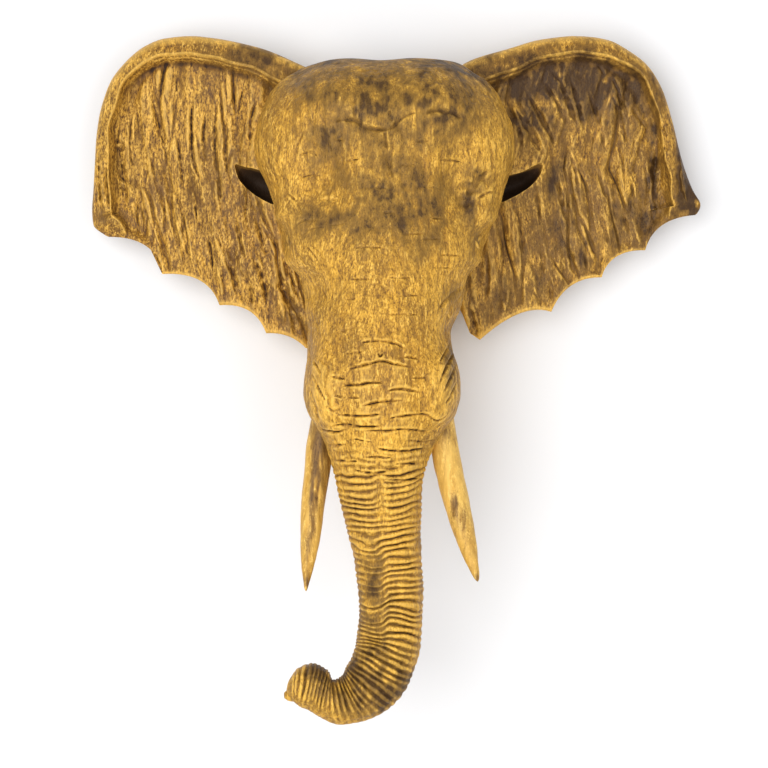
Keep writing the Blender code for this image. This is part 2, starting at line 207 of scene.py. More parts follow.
def soft_noise(points: Array, seed: int) -> Array:
    """Smooth noise, blended between random values on the corners of a lattice.

    Args:
        points: Places in lattice cells, with two or three coordinates last.
        seed: Which noise.

    Returns:
        Values from -1 to 1.
    """
    size = 32
    dims = points.shape[-1]
    points = points @ np.array(SPIN if dims == 3 else FLAT_SPIN)
    table = np.random.default_rng(SEED + seed).uniform(-1, 1, (size,) * dims)
    base = np.floor(points).astype(int)
    t = points - base
    t = t * t * (3 - 2 * t)
    total = np.zeros(points.shape[:-1])
    for corner in itertools.product((0, 1), repeat=dims):
        weight = np.prod(np.where(np.array(corner) == 1, t, 1 - t), axis=-1)
        total += weight * table[tuple(np.moveaxis((base + corner) % size, -1, 0))]
    return total


def flat_noise(x: Array, z: Array, wide: float, high: float, seed: int) -> Array:
    """Smooth noise over the front view, in cells of the given width and height."""
    return soft_noise(np.stack([x / wide, z / high], axis=-1), seed)


def gouge_cells(points: Array, seed: int) -> Array:
    """Distances to scattered centres, one to each cell of a lattice, as strokes of a gouge fall.

    Args:
        points: Places in cells, with two or three coordinates last.
        seed: Which pattern.

    Returns:
        The distance to the nearest centre.
    """
    size = 24
    dims = points.shape[-1]
    table = np.random.default_rng(SEED + seed).uniform(0.12, 0.88, (size,) * dims + (dims,))
    base = np.floor(points).astype(int)
    nearest = np.full(points.shape[:-1], np.inf)
    for offset in itertools.product((-1, 0, 1), repeat=dims):
        cell = base + offset
        centre = cell + table[tuple(np.moveaxis(cell % size, -1, 0))]
        nearest = np.minimum(nearest, np.linalg.norm(points - centre, axis=-1))
    return nearest


def smoothed(values: Array, one: Array, two: Array, times: int) -> Array:
    """Sets each vertex's values to the mean of its neighbours', again and again.

    Args:
        values: One vertex to a row.
        one: First ends of the edges.
        two: Their second ends.
        times: How often.

    Returns:
        The smoothed values.
    """
    count = len(values)
    joined = (np.bincount(one, minlength=count) + np.bincount(two, minlength=count))[:, None]
    for _ in range(times):
        sums = [
            np.bincount(one, column[two], count) + np.bincount(two, column[one], count) for column in values.T
        ]
        values = np.where(joined > 0, np.stack(sums, axis=1) / np.maximum(joined, 1), values)
    return values


def loop_faces(index: Array) -> Array:
    """Faces between rows of vertices that are closed loops."""
    right = np.roll(index, -1, axis=1)
    return np.stack([index[:-1], index[1:], right[1:], right[:-1]], axis=2).reshape(-1, 4)


def cap_faces(loop: Array, middle: int) -> Array:
    """Triangles from a loop of vertices to the vertex in its middle."""
    return np.column_stack([loop, np.roll(loop, -1), np.full(len(loop), middle)])


def unit(vectors: Array) -> Array:
    """The same vectors, each with a length of 1."""
    return vectors / np.linalg.norm(vectors, axis=-1, keepdims=True)


def swept(line: Array, side: Array, front: Array, sides: int) -> Array:
    """Closed loops along a line, each an ellipse: cosine times a radius sideways, sine times one forwards.

    Args:
        line: x, y, z and two radii, one station to a row.
        side: The way to the side at each station.
        front: The way to the front.
        sides: Points in a loop.

    Returns:
        Rows that are closed loops.
    """
    angle = np.linspace(0, 2 * math.pi, sides, endpoint=False)[:, None]
    wide = side[:, None] * np.cos(angle) * line[:, 3][:, None, None]
    deep = front[:, None] * np.sin(angle) * line[:, 4][:, None, None]
    return line[:, None, :3] + wide + deep


def grid_normals(points: Array, closed: bool) -> Array:
    """Unit normals of a grid.

    Args:
        points: Rows and columns of points.
        closed: Whether each row is a closed loop.

    Returns:
        A normal for each point, out of the body for loops that run as the head's do.
    """
    down = np.gradient(points, axis=0)
    if closed:
        across = np.roll(points, -1, axis=1) - np.roll(points, 1, axis=1)
    else:
        across = np.gradient(points, axis=1)
    normal = np.cross(across, down)
    return normal / np.maximum(np.linalg.norm(normal, axis=2, keepdims=True), 1e-9)


@dataclass(frozen=True)
class Cuts:
    """Cuts of a gouge, drawn as lines in front view.

    Attributes:
        lines: Half width, depth and the points that each runs through. A negative depth stands out.
        strength: Share of the depths that is cut.
        thin: Share of the half widths that is cut.
        fold: How far the wood swells on one side of a cut, as a share of its depth.
        reach: How far that swelling runs, in half widths.
        soft: Share of a cut's length over which it fades at each end.
    """

    lines: tuple
    strength: float = 1.0
    thin: float = 1.0
    fold: float = 0.0
    reach: float = 0.0
    soft: float = 0.16

    def relief(self, x: Array, z: Array) -> Array:
        """How far the cuts move the surface: a bell across each line, which fades towards its ends.

        Args:
            x: Places across.
            z: Places up.

        Returns:
            Distance out, negative inside a cut.
        """
        out = np.zeros(np.shape(x))
        for number, (half, depth, *points) in enumerate(self.lines):
            half, depth = half * self.thin, depth * self.strength
            line = smooth_line(points, 20)
            margin = half * (4 + 3 * self.reach)
            low, high = line.min(axis=0) - margin, line.max(axis=0) + margin
            near = (x > low[0]) & (x < high[0]) & (z > low[1]) & (z < high[1])
            if not near.any():
                continue
            gap, place, side = line_gap(line, x[near], z[near])
            wander = flat_noise(x[near], z[near], 9, 9, 70 + number)
            width = half * (0.85 + 0.3 * wander) * (0.45 + 0.55 * both_ends(0, 0.3, place))
            broken = 0.8 + 0.5 * flat_noise(x[near], z[near], 7, 7, 110 + number)
            fade = both_ends(-0.02, self.soft, place) * broken
            shape = -np.exp(-((gap / width) ** 2))
            if self.fold:
                swollen = np.exp(-((gap / (self.reach * width)) ** 1.5)) * (side * (-1) ** number > 0)
                shape = shape + self.fold * swollen
            out[near] += depth * fade * shape
        return out


@dataclass
class Body:
    """A closed mesh on its way to becoming a piece of the object.

    Attributes:
        made: The mesh object.
    """

    made: bpy.types.Object

    @classmethod
    def from_arrays(cls, name: str, points: Array, faces: list) -> "Body":
        """Makes a body from points in thousandths of the height.

        Args:
            name: Name of the object.
            points: One point to a row.
            faces: Corners of each face.

        Returns:
            The body, in the scene.
        """
        mesh = bpy.data.meshes.new(name)
        mesh.from_pydata((np.asarray(points, float) * SHARE).tolist(), [], faces)
        mesh.validate()
        made = bpy.data.objects.new(name, mesh)
        bpy.context.scene.collection.objects.link(made)
        return cls(made).outward()

    @classmethod
    def from_loops(cls, name: str, grid: Array) -> "Body":
        """Makes a body from rows that are closed loops, with a point at each end.

        Args:
            name: Name of the object.
            grid: Rows and columns of points.

        Returns:
            The body, in the scene.
        """
        rows, columns = grid.shape[:2]
        index = np.arange(rows * columns).reshape(rows, columns)
        top = cap_faces(index[0], rows * columns)
        low = cap_faces(index[-1], rows * columns + 1)[:, [1, 0, 2]]
        points = np.concatenate([grid.reshape(-1, 3), [grid[0].mean(axis=0), grid[-1].mean(axis=0)]])
        return cls.from_arrays(name, points, loop_faces(index).tolist() + top.tolist() + low.tolist())

    def outward(self) -> "Body":
        """Turns the faces outwards, if the body holds a negative volume.

        Returns:
            The body itself.
        """
        mesh = self.made.data
        mesh.calc_loop_triangles()
        corners = np.empty(len(mesh.loop_triangles) * 3, np.int32)
        mesh.loop_triangles.foreach_get("vertices", corners)
        if np.linalg.det(self.points()[corners.reshape(-1, 3)]).sum() < 0:
            mesh.flip_normals()
        return self

    def points(self) -> Array:
        """The vertices' places in thousandths of the height."""
        return self.read("co") / SHARE

    def read(self, name: str) -> Array:
        """Reads what the vertices hold.

        Args:
            name: A property of a vertex that has three numbers.

        Returns:
            One vertex to a row.
        """
        vertices = self.made.data.vertices
        flat = np.empty(len(vertices) * 3, np.float32)
        vertices.foreach_get(name, flat)
        return flat.reshape(-1, 3).astype(float)

    def change(self, other: "Body", how: Join) -> "Body":
        """Joins another body to this one, or cuts it away.

        Args:
            other: The other body.
            how: Whether it is added or cut away.

        Returns:
            The body itself.
        """
        modifier = self.made.modifiers.new(how.name.title(), "BOOLEAN")
        modifier.operation = how.value
        modifier.solver = "EXACT"
        modifier.object = other.made
        graph = bpy.context.evaluated_depsgraph_get()
        joined = bpy.data.meshes.new_from_object(self.made.evaluated_get(graph))
        self.made.modifiers.clear()
        old, self.made.data = self.made.data, joined
        bpy.data.meshes.remove(old)
        bpy.data.objects.remove(other.made)
        return self

    def weather(self, stains_and_shade: "StainsAndShade") -> "Body":
        """Stores how hollow and how stained each vertex is, with painted shade added to both, for the finish
        to read.

        A vertex is hollow where the surface, smoothed over its neighbours, lies outside it; the broad level
        also carries painted shade where parts meet.

        Args:
            stains_and_shade: Where the wood is stained, and where shade is painted on it.

        Returns:
            The body itself.
        """
        mesh = self.made.data
        points, normal = self.points(), self.read("normal")
        ends = np.empty(len(mesh.edges) * 2, np.int32)
        mesh.edges.foreach_get("vertices", ends)
        fan = np.bincount(ends, minlength=len(points)) > FAN_EDGES
        ends = ends.reshape(-1, 2)
        fanned = fan[ends].any(axis=1)
        rim = np.isin(np.arange(len(points)), ends[fanned])
        one, two = ends[~fanned].T

        near = smoothed(points, one, two, 4)
        # The broad level stands for wax in broad hollows and for painted shade where parts meet.
        wide = smoothed(near, one, two, 26)
        levels = ((near, 1.1), (wide, 3.0))
        hollow = [((level - points) * normal).sum(axis=1) / size for level, size in levels]
        inner = (~rim).astype(float)
        beside = smoothed(np.column_stack([hollow[0] * inner, hollow[1] * inner, inner]), one, two, 1)
        share = np.maximum(beside[:, 2], 1e-3)
        cut, deep = (np.where(rim, beside[:, place] / share, hollow[place]) for place in (0, 1))
        # The stain values carry real stains and painted shade.
        for name, value in (("cut", cut), ("deep", deep), ("stain", stains_and_shade.at(points, normal))):
            layer = mesh.attributes.new(name, "FLOAT", "POINT")
            layer.data.foreach_set("value", np.clip(value, -1, 2.4).astype(np.float32))
        return self

    def dress(self, name: str, material: bpy.types.Material, slot: str, node: str) -> bpy.types.Object:
        """Makes the body a piece of the object: named, finished, shaded and tied to the CAD.

        Args:
            name: The piece's name.
            material: Its finish.
            slot: The record's material slot; not used.
            node: The CAD node that it stands for, alone or with others.

        Returns:
            The finished object.
        """
        made, mesh = self.made, self.made.data
        made.name = mesh.name = name
        mesh.materials.clear()
        mesh.materials.append(material)
        mesh.polygons.foreach_set("material_index", np.zeros(len(mesh.polygons), np.int32))
        mesh.polygons.foreach_set("use_smooth", np.ones(len(mesh.polygons), bool))
        mesh.set_sharp_from_angle(angle=math.radians(SHARP_DEGREES))
        mesh.update()
        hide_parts(node)
        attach(made, "root")
        mesh.calc_loop_triangles()
        log.info("%s: %d triangles", name, len(mesh.loop_triangles))
        return made


@dataclass(frozen=True)
class StainsAndShade:
    """Dark places on the wood: stains, and painted shade inside the slots, on the hidden back, near the wall
    and at some spots.

    Attributes:
        spots: x, z, half width, half height and strength, in front view.
        pockets: Painted shade inside the deep slots, in the same way.
        grain: Size of the patches that break them up.
        back: How much painted shade darkens the hidden back.
    """

    spots: tuple
    pockets: tuple = ((-186, 16, 44, 30, 2.2), (200, 18, 46, 34, 2.2))
    grain: Place = (16, 16, 22)
    back: float = 0.35

    def at(self, points: Array, normal: Array) -> Array:
        """How stained each place is, with painted shade added.

        Args:
            points: Places in thousandths of the height.
            normal: Unit normals.

        Returns:
            Shares, where 1 is darkest.
        """
        x, y, z = points.T
        grain = np.array(self.grain)
        rough = soft_noise(points / grain, 11) * 0.7 + soft_noise(points / grain * 2.9, 12) * 0.5
        out = np.zeros(len(points))
        for spot in self.spots:
            out += swelling(x, z, spot)
        # Faces turned to the wall: painted shade on the hidden back, and fewer spots there.
        behind = ramp(0.2, 0.9, normal[:, 1])
        out = np.minimum(out * np.clip(1 + rough, 0, 2), 1.25) * (1 - 0.7 * behind)
        # Painted shade inside the slots, between their mouths and their far ends.
        for pocket in self.pockets:
            out += swelling(x, z, pocket) * ramp(-85, -77, y) * (1 - ramp(-58, -48, y))
        # Painted shade on the hidden back and on surfaces within 60 of the wall.
        return out + self.back * behind + 0.3 * ramp(-60, -10, y)


def section_angles(wide: float, deep: float, power: float, front: int, back: int) -> Array:
    """Directions round a section that space its front points evenly.

    Args:
        wide: Half width of a typical section.
        deep: Its depth in front of its widest place.
        power: Its squareness.
        front: Points over the front.
        back: Points over the back.

    Returns:
        Angles from the right side over the front and round the back.
    """
    turn = np.linspace(0, math.pi, 1600)
    side, forward = np.cos(turn), np.sin(turn)
    reach = ((np.abs(side) / wide) ** power + (np.abs(forward) / deep) ** power) ** (-1 / power)
    steps = np.hypot(np.diff(side * reach), np.diff(forward * reach))
    travelled = np.concatenate([[0], np.cumsum(steps)])
    even = np.interp(np.linspace(0, travelled[-1], front + 1)[:-1], travelled, turn)
    return np.concatenate([even, np.linspace(math.pi, 2 * math.pi, back, endpoint=False)])


@dataclass(frozen=True)
class HeadLine:
    """The line that the head and trunk are drawn along, from the crown to the tip.

    Each table gives a value at a distance along the line. A section is a squared ellipse, with its own
    depth in front of and behind its widest place, turned as the trunk bends.

    Attributes:
        crown: Height of the line's start.
        bend: Where the line leaves the upright.
        end: Where it ends.
        middle: Place across of the line.
        bend_z: Height of the line past the bend.
        half_width: Half width of a section.
        front: Where a section ends towards the viewer, along Y.
        back: Where it ends towards the wall.
        widest: Where it is widest.
        squareness: Power of the squared ellipse in front.
        turn: How far a section is turned in front view, in degrees.
        back_power: Power of the squared ellipse behind.
    """

    crown: float = 195.8
    bend: float = 841.7
    end: float = 1039.4
    middle: Knots = (
        (0, -1.5), (53, -0.5), (134, 1), (215, 4), (283, -1), (350, 0), (405, -6), (457, -3), (517, -2.5),
        (571, -5.5), (613, -5), (669, -1), (726, 5.5), (784, 10), (842, 7), (882, -4), (907, -19), (937, -43),
        (958, -65), (984, -86.5), (1007, -107), (1024, -124), (1037, -135), (1040, -138),
    )
    bend_z: Knots = (
        (842, -646), (882, -684), (907, -708), (937, -727), (958, -732), (984, -718), (1007, -707),
        (1024, -706), (1037, -710), (1040, -711),
    )
    half_width: Knots = (
        (0, 0), (3, 84), (7, 118), (15, 130), (30, 150), (53, 167.5), (74, 178), (95, 186), (134, 191),
        (156, 187), (188, 174), (215, 165), (243, 156), (283, 147), (300, 139.5), (325, 124.5), (350, 120),
        (370, 115.5), (405, 103), (429, 104), (457, 110), (489, 112), (517, 105.5), (543, 89), (571, 73.5),
        (613, 61.5), (669, 53.5), (726, 47.5), (784, 46), (842, 45.5), (882, 45), (907, 43), (937, 36.5),
        (958, 33), (984, 34), (1007, 32), (1024, 24), (1037, 9), (1040, 0),
    )
    front: Knots = (
        (0, -140), (3, -172), (13, -200), (29, -223), (53, -242), (95, -258), (134, -265), (188, -270),
        (243, -279), (300, -291), (350, -304), (405, -320), (457, -331), (489, -335), (517, -335),
        (571, -329), (613, -320), (669, -305), (726, -290), (784, -278), (842, -272), (882, -271),
        (937, -273), (984, -283), (1007, -292), (1024, -290), (1037, -278), (1040, -270),
    )
    back: Knots = (
        (0, -140), (3, -84), (13, -42), (29, -16), (48, 14), (60, 30), (405, 30), (429, -11), (457, -76),
        (489, -122), (517, -154), (543, -174), (571, -189), (613, -201), (669, -204), (726, -198),
        (784, -188), (842, -184), (882, -186), (937, -200), (984, -214), (1007, -224), (1024, -240),
        (1037, -262), (1040, -270),
    )
    widest: Knots = (
        (0, -140), (3, -120), (134, -130), (243, -140), (325, -145), (370, -158), (405, -180), (429, -200),
        (489, -220), (571, -250), (613, -258), (669, -252), (726, -244), (784, -234), (842, -228),
        (937, -236), (984, -248), (1007, -258), (1040, -270),
    )
    squareness: Knots = (
        (0, 2.0), (30, 2.2), (134, 2.45), (283, 2.6), (405, 2.3), (489, 2.2), (571, 2.1), (1040, 2.0),
    )
    turn: Knots = (
        (560, 0), (640, -5), (726, -5), (784, -1), (842, 10), (882, 25), (907, 38), (937, 60), (958, 77),
        (984, 100), (1007, 100), (1024, 92), (1040, 88),
    )
    back_power: float = 2.3

    def face_rows(self, low: float, high: float, count: int) -> Array:
        """Distances along the line that space the rows evenly over the rounded crown and the face.

        Args:
            low: First distance.
            high: Last distance.
            count: How many rows.

        Returns:
            The distances.
        """
        fine = np.linspace(low, high, 6000)
        reach = np.column_stack([fine, profile(self.half_width, fine), profile(self.front, fine)])
        steps = np.linalg.norm(np.diff(reach, axis=0), axis=1)
        travelled = np.concatenate([[0], np.cumsum(steps)])
        return np.interp(np.linspace(0, travelled[-1], count), travelled, fine)

    def surface(self, rows: Array, angles: Array) -> tuple[Array, Array]:
        """The smooth surface, before it is carved.

        Args:
            rows: Distances along the line.
            angles: Directions round each section.

        Returns:
            The points, and the same points on a straight line: across, forward and along.
        """
        row, angle = rows[:, None], angles[None]
        side, forward = np.cos(angle), np.sin(angle)
        wide = np.maximum(profile(self.half_width, row), 1e-3)
        widest = profile(self.widest, row)
        depth = np.where(forward > 0, widest - profile(self.front, row), profile(self.back, row) - widest)
        depth = np.maximum(depth, 1e-3)
        power = np.where(forward > 0, profile(self.squareness, row), self.back_power)
        reach = ((np.abs(side) / wide) ** power + (np.abs(forward) / depth) ** power) ** (-1 / power)
        turn = np.radians(profile(self.turn, row))
        middle_z = np.where(row < self.bend, self.crown - row, profile(self.bend_z, row))
        x = profile(self.middle, row) + np.cos(turn) * side * reach
        y = widest - forward * reach
        z = middle_z - np.sin(turn) * side * reach
        straight = np.stack([side * reach, forward * reach, row + 0 * reach], axis=2)
        return np.stack([x, y, z], axis=2), straight


@dataclass(frozen=True)
class Rings:
    """The rings of the trunk: rounded ridges with a dark cut between them.

    Attributes:
        start: Where the first rings fade in along the line.
        full: Where they are all there.
        stop: Where the last one fades out.
        spacing: Distance between cuts, along the line.
        depth: Depth of a cut, along the line.
        lift: How far the rings rise towards both sides.
        wander: How far the cuts wander, in rings.
        width: Half width of a cut, as a share of a ring.
        panel: Where the left side is flatter, along the line.
    """

    start: float = 545
    full: float = 612
    stop: float = 1037
    spacing: Knots = ((540, 11), (600, 9.8), (660, 9.0), (800, 8.8), (880, 8.2), (940, 7), (1030, 6))
    depth: Knots = ((540, 2.0), (620, 2.6), (700, 2.8), (860, 2.8), (1000, 2.4), (1040, 1.6))
    lift: Knots = ((560, 2), (600, 8), (690, 9), (760, 0))
    wander: float = 0.62
    width: float = 0.18
    panel: Knots = ((675, 0), (715, 1), (815, 1), (850, 0))

    def relief(self, straight: Array) -> Array:
        """How far the rings move the surface.

        Args:
            straight: Places across, forward and along the straightened trunk.

        Returns:
            Distance out.
        """
        across, forward, place = np.moveaxis(straight, -1, 0)
        fine = np.linspace(500, 1040, 2000)
        counted = np.cumsum(1 / profile(self.spacing, fine)) * (fine[1] - fine[0])
        half = np.maximum(np.hypot(across, forward), 1)
        share = np.clip(across / half, -1, 1)
        cells = np.stack([across / 44, forward / 44, place / 21], axis=-1)
        spine = np.exp(-((across / 9) ** 2)) * (1 - ramp(650, 700, place))
        lifted = profile(self.lift, place) * share**2 + 4 * spine
        arch = 5 * np.cos(0.5 * math.pi * share) * ramp(660, 740, place) * (1 - ramp(860, 900, place))
        left = ramp(-0.02, 0.3, -share + 0.14 * soft_noise(cells * 1.4, 6)) * profile(self.panel, place)
        hung = 8 * left * np.sin(math.pi * np.clip((share + 1) * 0.9, 0, 1))
        moved = place + lifted + arch - hung
        phase = np.interp(moved, fine, counted)
        phase = phase + self.wander * soft_noise(cells, 1) + 0.16 * soft_noise(cells * 2.6, 2)
        number = np.round(phase)
        gap = np.abs(phase - number)
        cut = np.exp(-((gap / self.width) ** 2))
        strong = 0.8 + 0.5 * soft_noise(cells * np.array([1.4, 1.4, 2.2]) + 9, 3)
        here = ramp(self.start, self.full, place) * (1 - ramp(self.stop - 14, self.stop, place))
        inner = left * (1 - ramp(0.72, 0.9, -share))
        plain = 1 - inner * (0.35 + 0.4 * (number % 3 > 0))
        ridge = 1 - 0.7 * spine
        edges = 1 - 0.6 * ramp(0.62, 0.95, np.abs(share))
        heel = 1 - 0.72 * ramp(0.1, 0.6, share + 0.2 * soft_noise(cells * 2, 8)) * ramp(895, 930, place)
        fold = ((number % 5) == 0) * 0.5
        sharp = cut * (np.clip(strong, 0.2, 1.3) * 0.9 + fold)
        lean = 0.5 - (phase - np.floor(phase))
        patchy = 0.95 + 0.3 * soft_noise(cells * np.array([0.9, 0.9, 0.6]) + 4, 7)
        round_ring = -0.3 * np.cos(2 * math.pi * gap) + 0.2 * lean * (gap > 0.12) + 0.1
        depth = profile(self.depth, place) * here * plain * ridge * edges * heel * patchy
        return depth * (round_ring - sharp)


@dataclass(frozen=True)
class Skin:
    """The small hollow marks of a gouge that cover the wood.

    Attributes:
        width: Width of a mark.
        length: Length of a mark.
        hollow: How much each mark is hollowed.
        seed: Which pattern.
    """

    width: float
    length: float
    hollow: float
    seed: int

    def relief(self, places: Array) -> Array:
        """How far the marks move the surface, which rises with the square of the distance from their middles.

        Args:
            places: Places across, any middle coordinates, and along, as coordinates last.

        Returns:
            Distance out.
        """
        dims = places.shape[-1]
        cells = places / np.array([self.width] * (dims - 1) + [self.length])
        moved = [soft_noise(cells * 0.37, self.seed + 1 + number) for number in range(dims)]
        cells = cells + 0.35 * np.stack(moved, axis=-1)
        strong = 0.7 + 0.5 * soft_noise(cells / 5, self.seed + 5)
        return strong * self.hollow * (gouge_cells(cells, self.seed) ** 2 - 0.3)


@dataclass(frozen=True)
class Slits:
    """Long wavy slits that fade in and out, with rounded strands between them.

    Attributes:
        width: Distance from slit to slit.
        length: How long they run.
        depth: Their depth.
        line: Half width, as a share of the noise's height.
        round: How far the strands between them are rounded.
        seed: Which pattern.
    """

    width: float
    length: float
    depth: float
    line: float
    round: float
    seed: int

    def relief(self, places: Array) -> Array:
        """How far the slits move the surface: a bell wherever stretched noise crosses 0.

        Args:
            places: Places across, any middle coordinates, and along, as coordinates last.

        Returns:
            Distance out.
        """
        size = np.array([self.width] * (places.shape[-1] - 1) + [self.length])
        cells = places / size
        wander = soft_noise(cells * np.array([0.5] * (places.shape[-1] - 1) + [2.2]), self.seed + 3)
        value = soft_noise(cells + 0.25 * wander[..., None], self.seed)
        shown = ramp(-0.25, 0.3, soft_noise(cells * 0.83 + 5.5, self.seed + 1))
        fine = self.line * (1 + 0.5 * soft_noise(cells * 2, self.seed + 2))
        slit = np.exp(-((value / fine) ** 2))
        return -self.depth * shown * slit + self.round * (np.abs(value) - 0.3)


FACE_CUTS = Cuts((
    (5, 7, (-78, 86), (-58, 90), (-40, 89), (-28, 80), (-3, 76), (12, 79), (20, 88), (37, 98), (50, 100)),
    (5, 7, (56, 97), (70, 103), (83, 104), (100, 100), (112, 92)), (4, 5, (-41, 123), (-41, 91)),
    (4, 5, (8, 104), (11, 88)), (5, 6, (0, 75), (3, 57), (5, 37), (13, 7)),
    (4, 6, (-113, 76), (-122, 59), (-125, 36)), (4, 6, (-120, 43), (-104, 47), (-93, 40)),
    (3, 5, (-29, -7), (-11, -6), (6, -8)), (3, 5, (76, 34), (95, 35), (113, 32)),
    (3, 5, (39, -6), (62, -4), (83, -7)), (3, 5, (-3, -42), (15, -42)), (3, 5, (-91, -21), (-64, -21)),
    (3, 5, (67, -49), (85, -49)), (3, 5, (-43, -92), (-22, -91), (0, -92)),
    (3, 5, (78, -101), (108, -101)), (3, 5, (67, -119), (98, -119)), (3, 5, (6, -134), (39, -134)),
    (3, 5, (-46, -136), (-15, -136)), (3, 5, (6, -186), (28, -185), (48, -186)),
    (4, 3, (-60, -209), (-39, -203)), (7, 8, (150, 25), (133, 4), (119, -15), (116, -39)),
    (5, 7, (133, -18), (146, -11), (156, -7)), (5, 3, (-63, 0), (-64, -45), (-63, -88), (-73, -119)),
    (3, 5, (-113, -85), (-102, -97), (-92, -111)), (3, 5, (-105, -85), (-94, -95), (-85, -109)),
    (3, 5, (-115, -94), (-106, -104), (-98, -112)), (6, 9, (121, -136), (96, -156), (76, -178)),
    (4, 4, (-87, -231), (-76, -240), (-62, -242)), (4, 4, (-90, -248), (-78, -256)),
    (5, 6, (-109, -280), (-99, -303), (-90, -339)), (3, 5, (-76, 60), (-55, 62)),
    (3, 5, (43, 59), (64, 60)), (3, 5, (-118, 11), (-101, 15), (-87, 13)), (3, 5, (-55, 32), (-34, 35)),
    (3, 5, (22, 25), (45, 27)), (3, 5, (-76, -59), (-55, -57)), (3, 5, (28, -73), (56, -71)),
    (3, 5, (-55, -164), (-25, -163)), (3, 5, (15, -160), (50, -158)), (3, 5, (50, -80), (78, -78)),
    (3, 5, (-139, -10), (-123, -24), (-116, -43)), (4, 4, (132, -45), (126, -69), (120, -88)),
    (4, 4, (-101, -136), (-87, -150), (-78, -168)), (5, 8, (112, -154), (97, -172), (88, -192)),
    (3, 4, (-128, -60), (-110, -50), (-90, -52)), (3, 4, (-116, -72), (-100, -62), (-84, -60)),
), strength=0.36, thin=0.5)
ROOT_CUTS = Cuts((
    (4, 4, (-34, -225), (-12, -222), (14, -225), (30, -233)), (3, 6, (-9, -239), (-5, -244), (-1, -239)),
    (4, 5, (-52, -262), (-26, -255), (-3, -250), (15, -254), (36, -258)),
    (4, 4, (-59, -284), (-36, -283), (-17, -280), (0, -280)), (4, 4, (4, -291), (21, -288), (50, -293)),
    (3, 4, (-69, -298), (-50, -301), (-33, -301)), (4, 4, (-29, -311), (-4, -306), (26, -304)),
    (4, 5, (-65, -324), (-33, -326), (-3, -323)),
    (4, 5, (4, -330), (21, -326), (54, -323), (74, -333), (86, -326)),
    (4, 5, (-76, -341), (-55, -338), (-30, -341), (-4, -340)),
    (4, 4, (-28, -345), (1, -346), (29, -344), (68, -349)), (4, 5, (-91, -345), (-68, -349), (-51, -344)),
    (3, 4, (-43, -357), (-17, -362)), (4, 4, (-80, -368), (-55, -366)),
    (4, 5, (-12, -370), (22, -374), (58, -371)), (4, 4, (-29, -382), (12, -384)),
    (4, 4, (-69, -388), (-52, -389), (-36, -388)), (4, 4, (15, -392), (47, -393)),
    (4, 5, (-44, -400), (-18, -404), (7, -402)), (4, 5, (-1, -413), (25, -415), (52, -413)),
    (4, 4, (33, -359), (55, -362), (72, -359)), (4, 4, (-74, -271), (-54, -275)),
    (4, 3, (39, -273), (61, -272)), (4, 4, (22, -244), (50, -247)), (3, 3, (-54, -240), (-30, -237)),
    (4, 5, (102, -228), (91, -251), (79, -273)), (4, 5, (103, -251), (94, -273), (83, -293)),
    (4, 5, (103, -276), (95, -295), (86, -309)), (4, 4, (99, -237), (87, -260), (77, -282)),
    (4, 4, (94, -221), (86, -237), (77, -251)), (4, 4, (-102, -265), (-91, -287), (-81, -306)),
    (4, 4, (-99, -249), (-88, -268)), (4, 4, (-81, -311), (-70, -319), (-59, -316)),
), strength=0.84, thin=0.5, fold=0.36, reach=3.2, soft=0.14)


